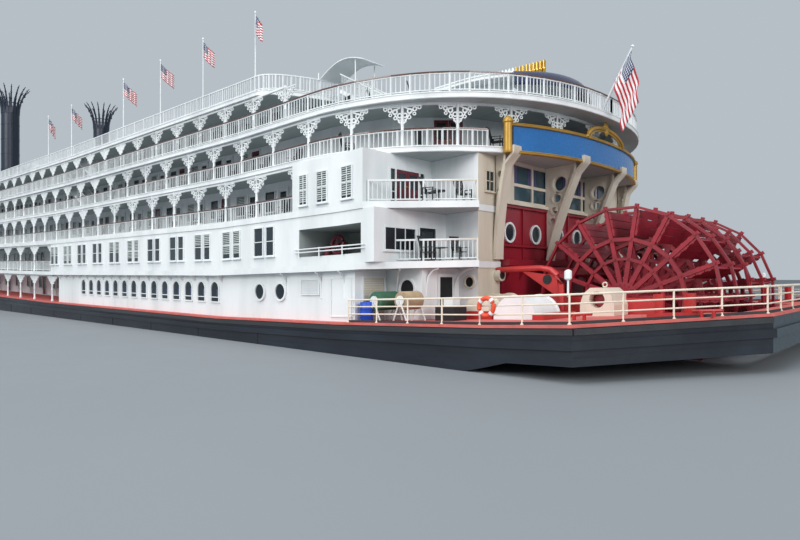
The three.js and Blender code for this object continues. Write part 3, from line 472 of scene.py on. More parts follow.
for material, names, chosen in PARTLY_PAINTED:
    for mesh in node_meshes(names):
        paint_faces(mesh, material, chosen)


# Round decks: smooth slabs with a bead along the top and bottom of the edge

def deck_stations(spec):
    """(x, half width) from the stern's tip to the bow's."""
    stern = [round_end(spec["aft"], -spec["stern"], spec["half"], a) for a in range(0, 91, 5)]
    bow = [round_end(BOW_CENTRE, spec["bow"], spec["half"], a) for a in range(90, -1, -6)]
    middle = [(x, spec["half"]) for x in KNOTS if spec["aft"] < x < BOW_CENTRE]
    return stern + middle + bow


def deck_slab(level):
    stations = deck_stations(ROUND_DECKS[level])
    top, bottom = DECK[level], DECK[level] - SLAB
    slab, bead = Joinery(), Joinery()
    slab.loft([[(x, half, top), (x, -half, top), (x, -half, bottom), (x, half, bottom)]
               for x, half in stations], capped=False)
    made = slab.piece(f"deck_{level}_plated", WHITE_ENAMEL, replaces=[f"deck_{level}"])
    # the slab's underside greyed as painted shade, its top in grey deck paint
    paint_faces(made.data, SOFFIT_PAINTED_SHADE, under)
    paint_faces(made.data, GREY_DECK_PAINT, over)
    for z, thick in ((top - 0.035, 0.035), (bottom + 0.04, 0.03)):
        for _, side in SIDES:
            bead.sweep([(x, side * half, z) for x, half in stations], thick)
    bead.piece(f"deck_{level}_edge_bead", WHITE_ENAMEL, smooth=True)


for level in ROUND_DECKS:
    deck_slab(level)


# Galleries: posts, lace brackets, beams, balusters and rail caps

# Level, deck above, half width, first and second post, bays, a bay's length, front, stern
GALLERIES = (("main", "two", 13.3, -10.5, -5.8, 11, 4.1, 47.6, None),
             ("two", "three", 13.3, -10.5, -5.8, 11, 4.1, 47.2, None),
             ("three", "four", 12.75, -44.3, -40.6, 26, 3.07, 46.8, None),
             ("four", "five", 12.15, -44.3, -41.3, 27, 3.05, 46.3, -53.9),
             ("five", "six", 11.4, -41.35, -38.3, 25, 3.05, 44.8, None))
STERN_POSTS = (75, 60, 45, 30, 15, 0)
BOW_POSTS = (60, 30, 0)
STERN_OPENING = 7.4                    # deck four's rail stops this far from the centreline
POST_TURNING = ((0, 0.11), (0.06, 0.11), (0.08, 0.08), (0.4, 0.075), (0.42, 0.1), (0.45, 0.075),
                (0.9, 0.07), (0.92, 0.1), (1, 0.1))
BALUSTER_SPACING, NEWEL_SPACING = 0.22, 1.53
LACE_AFT_OF = -22                      # farther forward the lace is too fine to see
LACE_REACH, WIDE_REACH, LACE_DROP, LACE_THICK = 0.92, 1.2, 0.85, 0.05


def arc(centre, radius, start, end, steps):
    cu, cv = centre
    return [(cu + radius * cos(radians(start + (end - start) * k / steps)),
             cv + radius * sin(radians(start + (end - start) * k / steps))) for k in range(steps + 1)]


# A bracket's scrolls and its far form, as shares of its reach and drop
SCROLLS = ((0.88, 0.13, 0.1), (0.64, 0.2, 0.12), (0.62, 0.46, 0.09), (0.38, 0.3, 0.14), (0.36, 0.64, 0.1),
           (0.14, 0.52, 0.13), (0.13, 0.84, 0.09))                       # across, down, radius
FAR_LACE = ((0, 0), (1, 0), (0.96, 0.2), (0.72, 0.3), (0.62, 0.52), (0.4, 0.54), (0.32, 0.8), (0.14, 0.8),
            (0.03, 1))


def bracket(lace, foot, direction, reach, fine):
    """A fretwork bracket of scrolls in the corner between a post and the beam above it."""
    (x, y, z), (ux, uy) = foot, direction
    away = (-uy * LACE_THICK, ux * LACE_THICK, 0)
    start = (x + uy * LACE_THICK / 2, y - ux * LACE_THICK / 2)

    def at(u, v):
        return (start[0] + u * ux, start[1] + u * uy, z + v)

    if not fine:
        lace.plate([at(across * reach, -down * LACE_DROP) for across, down in FAR_LACE], away)
        return
    for first, last in (((0, -0.03), (reach, -0.03)), ((0.06, -0.05), (reach * 0.6, -LACE_DROP * 0.3)),
                        ((0.06, -LACE_DROP), (reach * 0.45, -LACE_DROP * 0.35))):
        lace.bar(at(*first), at(*last), LACE_THICK, 0.06)
    for across, down, size in SCROLLS:
        centre = (across * reach, -down * LACE_DROP)
        lace.band(*([at(u, v) for u, v in arc(centre, r, 0, 324, 9)] for r in (size * 0.5, size)), away)


def stand_of_balusters(rails, caps, line, floor, height, spacing, posts_every=None):
    """Balusters, a foot rail and a hand rail along a level line, with a wooden cap where caps is given."""
    rails.rail(line, floor + 0.12, 0.05)
    if caps:
        rails.rail(line, floor + height - 0.08, 0.05)
        caps.rail(line, floor + height - 0.02, 0.11, 0.06)
    else:
        rails.rail(line, floor + height - 0.03, 0.07, 0.06)
    for every, half, low, high in ((spacing, 0.018, 0.12, 0.05), (posts_every, 0.04, 0, 0.03)):
        for x, y in resample(line, every) if every else ():
            rails.box(about(x, half), about(y, half), (floor + low, floor + height - high))


def gallery(level, roof, half, first, second, bays, bay, front, stern):
    floor, beam = DECK[level] + GAP, DECK[roof] - SLAB - GAP
    posts, lace, rails, caps = Joinery(), Joinery(), Joinery(), Joinery()
    columns = [first] + [second + k * bay for k in range(bays + 1)]
    end = columns[-1]

    def post(x, y, tangent):
        posts.lathe(POST_TURNING, x, y, floor, beam)
        for sign in (1, -1):
            way = (tangent[0] * sign, tangent[1] * sign)
            bracket(lace, (x, y, beam - BEAM), way, LACE_REACH if bay < 4 else WIDE_REACH, x < LACE_AFT_OF)

    def posts_round(centre, reach, y, angles):
        """Posts round one end, with the one on the centreline drawn from port alone."""
        for angle in angles if y > 0 else angles[:-1]:
            (x, y_post), (x_next, y_next) = (round_end(centre, reach, y, a) for a in (angle, angle + 2))
            length = hypot(x_next - x, y_next - y_post)
            post(x, y_post, ((x_next - x) / length, (y_next - y_post) / length))

    for _, side in SIDES:
        y = side * (half - BEAM / 2)
        bow = (end, front - end - BEAM / 2, y)
        line = side_points(first, end, y, bay) + round_line(*bow, 90, 0, 6)[1:]
        for x in columns:
            post(x, y, (1, 0))
        posts_round(*bow, BOW_POSTS)
        if stern:
            after = (first, stern - first + BEAM / 2, y)
            line = round_line(*after, 0, 90, 4)[:-1] + line
            posts_round(*after, STERN_POSTS)
        posts.rail(line, beam - BEAM / 2, BEAM)
        if level in ("two", "three", "four"):
            fenced = [p for p in line if p[0] >= first or abs(p[1]) > STERN_OPENING]
            stand_of_balusters(rails, caps, fenced, floor, RAIL_HEIGHT, BALUSTER_SPACING, NEWEL_SPACING)
    parts = ("_port", "_starboard", "_bow") if level == "five" else ("",)
    posts.piece(f"gallery_{level}_columns", WHITE_ENAMEL, smooth=True,
                replaces=[f"colonnade_{level}{part}" for part in parts])
    lace.piece(f"gallery_{level}_lace_brackets", WHITE_ENAMEL)
    if rails.faces:
        rails.piece(f"gallery_{level}_balusters", WHITE_ENAMEL)
        caps.piece(f"gallery_{level}_rail_cap", RAIL_HARDWOOD)


for row in GALLERIES:
    gallery(*row)


# Rails round decks five and six

def loop_rail(level, inset, poles):
    spec = ROUND_DECKS[level]
    rails, caps = Joinery(), Joinery() if level == "five" else None
    line = deck_stations({**spec, **{key: spec[key] - inset for key in ("half", "stern", "bow")}})
    dense = []
    for (ax, ay), (bx, by) in zip(line, line[1:]):
        count = max(1, round((bx - ax) / 3.05))
        dense += [(ax + (bx - ax) * k / count, ay + (by - ay) * k / count) for k in range(count)]
    for _, side in SIDES:
        stand_of_balusters(rails, caps, [(x, side * y) for x, y in dense + line[-1:]], DECK[level] + GAP,
                           RAIL_HEIGHT, BALUSTER_SPACING, NEWEL_SPACING)
    for start, end, radius in poles:
        turning = [(0, radius), (0.97, radius * 0.7), (0.975, radius * 1.6), (1, radius * 0.8)]
        rails.turned(turning, start, end, 6)
    rails.piece(f"rail_{level}_balusters", WHITE_ENAMEL, replaces=[f"railing_{level}"])
    if caps:
        caps.piece(f"rail_{level}_cap", RAIL_HARDWOOD)


POLES = {"x": (-38.4, -32.5, -26.6, -20.4, -9.4, -3.3), "y": ROUND_DECKS["six"]["half"] - 0.2, "top": 21.5}
ENSIGN_STAFF = {"foot": (-54.85, 1.0, 14.4), "top": (-56.42, 1.0, 17.24)}
loop_rail("five", 0.16, [(ENSIGN_STAFF["foot"], ENSIGN_STAFF["top"], 0.06)])
loop_rail("six", 0.19, [((x, side * POLES["y"], DECK["six"]), (x, side * POLES["y"], POLES["top"]), 0.045)
                        for x in POLES["x"] for _, side in SIDES])


# Paddle wheel: three discs of oak arms on each half, iron rings and rim chords, plank buckets

RING_BARS = ((1.79, 0.13), (2.69, 0.17), (4.12, 0.11))          # radius, width
PLANKS = ((2.86, 3.22), (3.25, 3.61), (3.64, 4.0))              # each bucket's three boards
ARM_FOOT, ARM_HALF, ARM_TAPER = 0.45, 0.11, 0.03
BUCKET_FACE, BUCKET_BACK = 0.1, 0.18
RING_PROUD, BOLT_PROUD = 0.03, 0.07
HUB_TURNING = ((0, 0.46), (0.24, 0.5), (0.26, 0.72), (0.74, 0.72), (0.76, 0.5), (1, 0.46))
HUB_HALF = 0.2
SHAFT_HALF, SHAFT_RADIUS = 6.9, 0.34


def wheel_half(name, side):
    wood, iron = Joinery(level=True), Joinery(level=True)
    angles = [radians(WHEEL["phase"][name]) + 2 * pi * i / WHEEL["arms"] for i in range(WHEEL["arms"])]
    half, tip = WHEEL["thick"] / 2, WHEEL["radius"]

    def at(radius, angle, y, across=0.0):
        c, s = cos(angle), sin(angle)
        return (WHEEL["x"] + radius * c - across * s, y, WHEEL["z"] + radius * s + across * c)

    def board(work, r0, r1, low, high, angle, y, deep, taper=0.0):
        """A board on an arm from radius r0 to r1 and from low to high across it, narrower at r1 by taper."""
        corners = ((r0, low), (r1, low + taper), (r1, high - taper), (r0, high))
        work.plate([at(r, angle, y, across) for r, across in corners], (0, deep, 0))

    for centre in WHEEL["discs"]:
        y = side * centre
        for radius, width in RING_BARS:
            edges = ([at(r, a, y - half - RING_PROUD) for a in angles]
                     for r in (radius - width / 2, radius + width / 2))
            iron.band(*edges, (0, 2 * (half + RING_PROUD), 0))
        iron.turned(HUB_TURNING, at(0, 0, y - HUB_HALF), at(0, 0, y + HUB_HALF), 36)
        bolts = [(radius, half + BOLT_PROUD, 0.045) for radius, _ in RING_BARS] + [(0.61, 0.15, 0.035)]
        for angle in angles:
            board(wood, ARM_FOOT, tip, -ARM_HALF, ARM_HALF, angle, y - half, 2 * half, ARM_TAPER)
            for radius, reach, size in bolts:
                iron.rod(at(radius, angle, y - reach), at(radius, angle, y + reach), size, 6)
            for inner, outer in PLANKS:
                board(iron, inner + 0.12, outer - 0.12, -0.12, 0.21, angle, y - 0.025, 0.05)
    first, last = sorted((side * (WHEEL["discs"][0] - 0.02), side * (WHEEL["discs"][-1] + 0.02)))
    for angle in angles:
        for inner, outer in PLANKS:
            board(wood, inner, outer, BUCKET_FACE, BUCKET_BACK, angle, first, last - first)
    wood.piece(f"wheel_{name}_arms_and_buckets", WHEEL_ENAMEL, "wheel", replaces=[f"paddle_wheel_{name}"])
    iron.piece(f"wheel_{name}_rings_and_hubs", WHEEL_IRON, "wheel")


for name, side in SIDES:
    wheel_half(name, side)
shaft = Joinery(level=True)
shaft.turned([(0, 0.3), (0.004, SHAFT_RADIUS), (0.996, SHAFT_RADIUS), (1, 0.3)],
             (WHEEL["x"], -SHAFT_HALF, WHEEL["z"]), (WHEEL["x"], SHAFT_HALF, WHEEL["z"]), 40)
shaft.piece("wheel_shaft_turned", WHEEL_IRON, "wheel", True, ["wheel_shaft"])


# Chimneys: rolled plate with seam bands, and a crown of sixteen curved prongs with beads

CHIMNEY = {"x": 28.9, "y": 6.1, "radius": 1.1, "mouth": 0.98, "top": 29.1, "prongs": 16, "base_height": 1.25}
SEAM_BANDS, BAND_RADIUS = (0.2, 0.4, 0.6, 0.8, 0.955), 1.125
PRONG = ((28.6, 1.08, 0.2), (29.4, 1.12, 0.17), (30.2, 1.26, 0.12), (31.0, 1.52, 0.09), (31.7, 1.88, 0.065),
         (32.3, 2.36, 0.03))                                    # height, radius, half width
PRONG_BEADS = ((30.6, 1.39, 0.15), (31.35, 1.7, 0.13), (32.0, 2.1, 0.1))       # height, radius, size
BEAD_TURNING = ((0, 0.3), (0.25, 0.85), (0.5, 1), (0.75, 0.85), (1, 0.3))
LADDER = {"off": 1.2, "half": 0.22, "rungs": 20}


def chimney(name, side):
    pipe, crown = Joinery(level=True), Joinery(level=True)
    x, y, radius = CHIMNEY["x"], side * CHIMNEY["y"], CHIMNEY["radius"]
    foot = DECK["six"] + sheer(x + 1.3) + GAP + CHIMNEY["base_height"]
    tall = CHIMNEY["top"] - foot
    profile = [(0, 1.16), (0.015, 1.16), (0.017, radius)]
    for band in SEAM_BANDS:
        profile += [(band, radius), (band + 0.002, BAND_RADIUS), (band + 0.012, BAND_RADIUS),
                    (band + 0.014, radius)]
    profile += [(1, radius), (1, CHIMNEY["mouth"]), (0.93, CHIMNEY["mouth"])]
    pipe.lathe(profile, x, y, foot, foot + tall, 44)
    for k in range(CHIMNEY["prongs"]):
        turn = 2 * pi * (k + 0.5) / CHIMNEY["prongs"]
        c, s = cos(turn), sin(turn)
        crown.loft([[(x + (r + dr) * c - w * s, y + (r + dr) * s + w * c, z)
                     for dr, w in ((-0.04, -half), (0.04, -half), (0.04, half), (-0.04, half))]
                    for z, r, half in PRONG])
        for z, r, size in PRONG_BEADS:
            turning = [(share, size * width) for share, width in BEAD_TURNING]
            crown.lathe(turning, x + r * c, y + r * s, z - size, z + size)
    crown.sweep([(u, v, 30.05) for u, v in arc((x, y), 1.27, 0, 350, 35)], 0.05, closed=True)
    for k in range(LADDER["rungs"]):
        z = foot + 0.6 + k * tall / (LADDER["rungs"] + 1)
        crown.bar((x - 1.18, y - 0.2, z), (x - 1.18, y + 0.2, z), 0.05)
    for off in (-LADDER["half"], LADDER["half"]):
        start = (x - LADDER["off"], y + off, foot + 0.3)
        crown.bar(start, (*start[:2], start[2] + tall * 0.93), 0.05)
    pipe.piece(f"chimney_{name}_pipe", NAVY_ENAMEL, f"chimney_{name}", True, [f"chimney_{name}"])
    crown.piece(f"chimney_{name}_crown", NAVY_ENAMEL, f"chimney_{name}")


for name, side in SIDES:
    chimney(name, side)


# Knees under deck four, in a smooth sweep

KNEE_FORMS = {"outer": (7.0, 0.12, -52.9, 1.8), "inner": (2.3, 0.3, -54.1, 1.25)}
KNEE_FOOT, KNEE_TOP = 6.503, DECK["four"] - SLAB - GAP
KNEE_HOLES = ((8.6, 0.16), (9.15, 0.2), (9.8, 0.26), (10.55, 0.42))          # height, radius


def knee(y, toe, out, sweep):
    """A broad flange in one sweep, a head in front of the sign's foot, and rims round the web's holes."""
    wall, bend = FRONT - GAP, KNEE_TOP - 0.5
    made = Joinery()

    def outer(z):
        return wall - toe - (wall - toe - out) * ((z - KNEE_FOOT) / (bend - KNEE_FOOT)) ** sweep

    levels = [KNEE_FOOT + (bend - KNEE_FOOT) * k / 20 for k in range(21)]
    edge = [(outer(z) - 0.02, z) for z in levels]
    edge += [(out - 0.4, KNEE_TOP - 0.12), (out - 0.5, KNEE_TOP), (out - 0.5, KNEE_TOP + 0.32)]
    made.loft([[(x, y - 0.32, z), (x, y + 0.32, z), (x + 0.17, y + 0.32, z), (x + 0.17, y - 0.32, z)]
               for x, z in edge])
    for z, radius in KNEE_HOLES:
        centre, clear = (wall + outer(z)) / 2, min(radius, (wall - outer(z)) * 0.3)
        core, rim = (arc((centre, z), clear * share, 0, 345, 23) for share in (0.94, 1.22))
        made.band([(u, y - 0.16, v) for u, v in core], [(u, y - 0.16, v) for u, v in rim], (0, 0.32, 0))
    return made


for side_name, side in SIDES:
    for form, (y, *rest) in KNEE_FORMS.items():
        knee(side * y, *rest).piece(f"knee_{side_name}_{form}_flange", CREAM_ENAMEL_AND_BOUNCE_LIGHT, smooth=True)


# Sign: an enamelled board round the stern in a carved and gilded frame, with a sunburst over it

SIGN_POST_TURNING = ((0, 0.19), (0.04, 0.22), (0.1, 0.2), (0.8, 0.2), (0.83, 0.25), (0.88, 0.25), (0.93, 0.2),
                     (0.98, 0.1), (1, 0.02))
SIGN = {"limit": 31, "bottom": 11.42, "top": 12.85, "thick": 0.14, "frame": 0.14}


def stern_point(off, degrees):
    """A point off deck four's round stern, some degrees from the centreline."""
    spec = ROUND_DECKS["four"]
    return round_end(STERN_CENTRE, -spec["stern"] - off, spec["half"] + off, degrees)


def stern_line(off, z, limit, step=1.0):
    count = max(1, round(2 * limit / step))
    return [(*stern_point(off, -limit + 2 * limit * k / count), z) for k in range(count + 1)]


def sign():
    board, gilt = Joinery(), Joinery()
    low, high = SIGN["bottom"] + SIGN["frame"], SIGN["top"] - SIGN["frame"]
    inner, outer = (stern_line(off, low, SIGN["limit"]) for off in (GAP, GAP + SIGN["thick"]))
    board.band(inner, outer, (0, 0, high - low), closed=False)
    for z in (low, high):
        base = z - SIGN["frame"] if z == low else z
        inside, outside = (stern_line(off, base, SIGN["limit"] + 1.2) for off in (GAP, SIGN["thick"] + 0.06))
        gilt.band(inside, outside, (0, 0, SIGN["frame"]), closed=False)
        for share, size in ((0.25, 0.045), (0.8, 0.03)):
            bead = stern_line(SIGN["thick"] + 0.07, base + SIGN["frame"] * share, SIGN["limit"] + 1.2)
            gilt.sweep(bead, size)
    for _, side in SIDES:
        x, y = stern_point(0.12, side * (SIGN["limit"] + 1.7))
        gilt.lathe(SIGN_POST_TURNING, x - 0.06, y, SIGN["bottom"], SIGN["top"] + 0.3, 20)
    crest_x = STERN_CENTRE - ROUND_DECKS["four"]["stern"] - 0.14
    arch = [(crest_x, 2.2 * cos(radians(a)), SIGN["top"] - 0.1 + 0.75 * sin(radians(a)))
            for a in range(0, 181, 6)]
    gilt.sweep(arch, 0.1, 8)
    inner_arch = [(x, y * 0.86, SIGN["top"] - 0.1 + (z - SIGN["top"] + 0.1) * 0.8) for x, y, z in arch]
    gilt.sweep(inner_arch, 0.05)
    for k in range(11):
        a = radians(15 + 15 * k)
        tip = 0.62 if k % 2 else 0.5
        root = Vector((crest_x, 0.16 * cos(a), SIGN["top"] + 0.5 + 0.16 * sin(a)))
        end = Vector((crest_x, 0.8 * tip * cos(a), SIGN["top"] + 0.5 + tip * sin(a)))
        gilt.turned([(0, 0.07), (0.6, 0.05), (1, 0.008)], root, end, 6)
    gilt.turned([(0, 0.16), (0.5, 0.2), (1, 0.1)], (crest_x + 0.06, 0, SIGN["top"] + 0.48),
                (crest_x - 0.1, 0, SIGN["top"] + 0.48), 16)
    board.piece("sign_board_enamelled", SIGN_ENAMEL, smooth=True, replaces=["sign_board"])
    gilt.piece("sign_frame_carved", GOLD_LEAF, smooth=True, replaces=["sign_frame"])


sign()


# Organ house: round after end, overhanging roof, brass and white pipes in a V, and an awning

ORGAN = {"centre": -48, "fore": -46.6, "wall": 3.4, "roof": 4.33, "under": 16.55, "top": 16.8, "pipes": 17}
PIPE_TURNING = ((0, 0.5), (0.1, 1), (0.62, 1), (0.64, 1.15), (0.7, 1.15), (0.72, 1), (0.93, 1), (1, 0.2))


def organ_plan(half, fore, z, steps=28):
    turns = [pi * k / steps for k in range(steps + 1)]
    after = [(ORGAN["centre"] - half * sin(t), half * cos(t), z) for t in turns]
    return [(fore, half, z), *after, (fore, -half, z)]


def organ_house():
    walls, roof, pale, brass = Joinery(), Joinery(), Joinery(), Joinery()
    floor, under_roof, top = DECK["five"], ORGAN["under"], ORGAN["top"]
    walls.plate(organ_plan(ORGAN["wall"], ORGAN["fore"], floor + GAP), (0, 0, under_roof - floor))
    roof.plate(organ_plan(ORGAN["roof"], ORGAN["fore"] + 0.4, under_roof), (0, 0, top - under_roof))
    for z, size in ((under_roof + 0.03, 0.05), (top - 0.03, 0.06)):
        roof.sweep(organ_plan(ORGAN["roof"], ORGAN["fore"] + 0.4, z), size, closed=True)
    for i in range(ORGAN["pipes"]):
        t = i / (ORGAN["pipes"] - 1)
        for side in (1, -1) if t < 1 else (1,):
            x, y = -48.4 - 2.4 * t, side * 2.1 * (1 - t)
            turning = [(share, (0.05 + 0.05 * t) * width) for share, width in PIPE_TURNING]
            (brass if t > 0.45 else pale).lathe(turning, x, y, top - 0.05, 17.6 + 0.75 * t, 12)
    for _, side in SIDES:
        pale.bar((-48.2, side * 2.25, top + 0.12), (-50.9, side * 0.05, top + 0.12), 0.28, 0.24)
    pale.lathe([(0, 0.5), (0.45, 0.52), (0.65, 0.47), (0.82, 0.34), (0.94, 0.17), (1, 0.02)],
               -46.9, 1.6, top, top + 1.1, 20)
    walls.piece("organ_house_walls", WHITE_ENAMEL, replaces=["calliope_house"])
    roof.piece("organ_house_roof", WHITE_ENAMEL)
    pale.piece("organ_pipes_white", WHITE_ENAMEL, smooth=True)
    brass.piece("organ_pipes_brass", PIPE_BRASS, smooth=True)


organ_house()


# Cloth: a grid of faces with a finish for each, thickened to the cloth's gauge

def cloth(name, rows, columns, place, finishes, pick, gauge=0.0006):
    """place(s, t) gives a point for shares of the cloth's two sides; pick(i, j) a finish's index."""
    points = [place(i / rows, j / columns) for i in range(rows + 1) for j in range(columns + 1)]
    wide = columns + 1
    faces = [(i * wide + j, i * wide + j + 1, (i + 1) * wide + j + 1, (i + 1) * wide + j)
             for i in range(rows) for j in range(columns)]
    mesh = bpy.data.meshes.new(name)
    mesh.from_pydata([(x * SCALE, y * SCALE, (z + sheer(x)) * SCALE) for x, y, z in points], [], faces)
    for material in finishes:
        mesh.materials.append(material)
    for index, polygon in enumerate(mesh.polygons):
        polygon.material_index = pick(index // columns, index % columns)
    mesh.shade_smooth()
    made = stand(name, mesh)
    gauge_it = made.modifiers.new("gauge", "SOLIDIFY")
    gauge_it.thickness = gauge
    gauge_it.offset = 0
    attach(made, "boat")
    return made


FLAG_FINISHES = [FLAG_RED, FLAG_WHITE, FLAG_BLUE]
STRIPES = 13
CANTON_ROWS, CANTON_SHARE = 7, 0.4


def flag_pick(rows, columns):
    """Thirteen stripes and a starred canton, on a grid with two rows to a stripe."""
    def pick(i, j):
        stripe = i * STRIPES // rows
        if stripe < CANTON_ROWS and j < columns * CANTON_SHARE:
            return 1 if i % 2 and j % 2 == (i // 2) % 2 and 0 < j < columns * CANTON_SHARE - 1 else 2
        return stripe % 2
    return pick


def folded(length, steps, heading):
    """A level line of unit speed whose heading in radians is heading(share), as points from zero."""
    points, at = [(0.0, 0.0)], (0.0, 0.0)
    for k in range(steps):
        angle = heading((k + 0.5) / steps)
        at = (at[0] + cos(angle) * length / steps, at[1] + sin(angle) * length / steps)
        points.append(at)
    return points


def limp_flag(name, x, y, way):
    """A flag hanging in folds against its pole."""
    hoist, fly, rows, columns = 0.95, 1.55, 26, 60
    line = folded(fly, columns, lambda t: way + pi / 2 + 1.35 * sin(2 * pi * (3.2 * t + 0.12 * way)))

    def place(s, t):
        u, v = line[round(t * columns)]
        return (x - 0.06 + u, y + v, 21.2 - hoist * s - 0.85 * t ** 0.8)

    cloth(name, rows, columns, place, FLAG_FINISHES, flag_pick(rows, columns))


for k, x in enumerate(POLES["x"]):
    for name, side in SIDES:
        limp_flag(f"flag_{name}_{k + 1}", x, side * POLES["y"], 1.3 + 0.5 * k + 2.1 * (side < 0))


def ensign():
    """The ensign hangs from the raked staff: it leaves the hoist level with it and then droops."""
    hoist, fly, rows, columns = 1.6, 2.5, 26, 60
    head = Vector((-56.3, 1.0, 17.0))
    along = Vector((0.54, 0, -0.84)).normalized()
    away = Vector((along.z, 0, -along.x))
    line = folded(fly, columns, lambda t: 0.95 * sin(2 * pi * (1.6 * t + 0.05)))

    def place(s, t):
        u, v = line[round(t * columns)]
        droop = 1.5 * t + 0.6 * t * t
        return tuple(head + along * (hoist * s + droop) + away * u + Vector((0, v, 0)))

    cloth("ensign", rows, columns, place, FLAG_FINISHES, flag_pick(rows, columns))


ensign()


def awning():
    """A bull-nosed awning round the organ house's after edge."""
    rows, columns, reach, drop, spread = 8, 40, 0.75, 0.95, 50

    def place(s, t):
        a = radians(-spread + 2 * spread * t)
        curl = radians(90 * s)
        radius = ORGAN["roof"] + 0.07 + reach * sin(curl)
        return (ORGAN["centre"] - radius * cos(a), radius * sin(a),
                ORGAN["top"] - 0.02 - drop * (1 - cos(curl)))

    cloth("organ_house_awning", rows, columns, place, [AWNING_CANVAS], lambda i, j: 0)


awning()


# Walls' own axes, and the windows, doors and ports that go on them

class Wall:
    """A flat wall: u runs along it from its corner, z is up, and depth comes out of it."""

    def __init__(self, corner, along, out):
        self.corner, self.along, self.out = corner, along, out

    def at(self, u, z, depth=0.0):
        return (self.corner[0] + u * self.along[0] + depth * self.out[0],
                self.corner[1] + u * self.along[1] + depth * self.out[1], z)

    def block(self, work, u, z, depth):
        (u0, u1), (z0, z1), (d0, d1) = sorted(u), sorted(z), sorted(depth)
        corners = ((u0, d0), (u1, d0), (u1, d1), (u0, d1))
        work.solid([self.at(a, c, b) for c in (z0, z1) for a, b in corners], BLOCK_FACES)

    def ring(self, work, centre, core, rim, depth, sides=28):
        turns = [2 * pi * k / sides for k in range(sides)]
        lines = [[self.at(centre[0] + r * cos(t), centre[1] + r * sin(t), depth[0]) for t in turns]
                 for r in (core, rim)]
        work.band(*lines, tuple((depth[1] - depth[0]) * c for c in (*self.out, 0)))

    def disc(self, work, centre, radius, depth, sides=28):
        work.rod(self.at(*centre, depth[0]), self.at(*centre, depth[1]), radius, sides)

    def frame(self, work, u, z, width, depth):
        (u0, u1), (z0, z1) = sorted(u), sorted(z)
        for a, c in (((u0 - width, u1 + width), (z0 - width, z0)), ((u0 - width, u0), (z0, z1)),
                     ((u0 - width, u1 + width), (z1, z1 + width)), ((u1, u1 + width), (z0, z1))):
            self.block(work, a, c, depth)


def along_side(y, side):
    return Wall((0, side * y), (1, 0), (0, side))


def facing_aft(x):
    return Wall((x, 0), (0, 1), (-1, 0))


trim, panes, blinds, doors, dark, cream_trim, curtains = (Joinery() for _ in range(7))
brass_knobs, saloon_glazing = Joinery(), Joinery()


def sash(wall, u, z, across=1, up=1, blind=0.0, work=None):
    """A framed window with glazing bars, a sill, and a slatted blind over a share of it."""
    (u0, u1), (z0, z1) = sorted(u), sorted(z)
    work = work or trim
    wall.block(panes, u, z, (GAP, 0.02))
    wall.frame(work, u, z, 0.06, (GAP, 0.07))
    wall.block(work, (u0 - 0.1, u1 + 0.1), (z0 - 0.11, z0 - 0.05), (GAP, 0.13))
    for k in range(1, across):
        middle = u0 + (u1 - u0) * k / across
        wall.block(work, about(middle, 0.02), (z0, z1), (GAP, 0.045))
    for k in range(1, up):
        middle = z0 + (z1 - z0) * k / up
        wall.block(work, (u0, u1), about(middle, 0.02), (GAP, 0.045))
    for k in range(int(blind * (z1 - z0) / 0.1)):
        wall.block(blinds, (u0 + 0.02, u1 - 0.02), (z1 - 0.075 - 0.1 * k, z1 - 0.03 - 0.1 * k), (0.02, 0.03))


def door(wall, u, z, leaves=1, glazed=0.55, work=None):
    """Framed door leaves with a pane above and a sunk panel below."""
    (u0, u1), (z0, z1) = sorted(u), sorted(z)
    work = work or doors
    wall.frame(trim, u, (z0 + 0.07, z1), 0.07, (GAP, 0.08))
    width = (u1 - u0) / leaves
    for k in range(leaves):
        a, b = u0 + k * width + 0.01, u0 + (k + 1) * width - 0.01
        split = z1 - (z1 - z0) * glazed
        wall.block(work, (a, b), (z0, z1), (GAP, 0.03))
        wall.frame(work, (a + 0.13, b - 0.13), (split, z1 - 0.16), 0.03, (0.03, 0.055))
        wall.block(panes, (a + 0.13, b - 0.13), (split, z1 - 0.16), (0.03, 0.04))
        wall.frame(work, (a + 0.16, b - 0.16), (z0 + 0.18, split - 0.16), 0.035, (0.03, 0.05))
        root, tip = (wall.at(a + 0.07 if k else b - 0.07, z0 + 0.95, depth) for depth in (0.03, 0.09))
        brass_knobs.turned([(0, 0.02), (0.5, 0.02), (0.6, 0.035), (1, 0.02)], root, tip)


def arched_window(wall, middle, sill, spring, half):
    def outline(grow):
        turns = [radians(a) for a in range(0, 181, 15)]
        corners = [(middle + half + grow, sill - grow),
                   *((middle + (half + grow) * cos(t), spring + (half + grow) * sin(t)) for t in turns),
                   (middle - half - grow, sill - grow)]
        return [wall.at(u, z, GAP) for u, z in corners]

    outward = (*wall.out, 0)
    panes.plate(outline(0), tuple(0.015 * c for c in outward))
    trim.band(outline(0), outline(0.07), tuple(0.07 * c for c in outward))
    wall.block(trim, about(middle, half), (sill + 0.22, sill + 0.27), (GAP, 0.05))
    wall.block(curtains, (middle - half + 0.03, middle - half * 0.45), (sill + 0.27, spring), (0.018, 0.024))


def port(wall, centre, radius, work, pane, rim=0.09):
    wall.disc(pane, centre, radius, (GAP, 0.03))
    wall.ring(work, centre, radius * 0.98, radius + rim, (GAP, 0.1))
    for k in range(8):
        a = pi * (k + 0.5) / 4
        bolt = (centre[0] + (radius + rim / 2) * cos(a), centre[1] + (radius + rim / 2) * sin(a))
        wall.disc(work, bolt, 0.02, (0.1, 0.12), 6)


# Windows along the sides, from the hull up

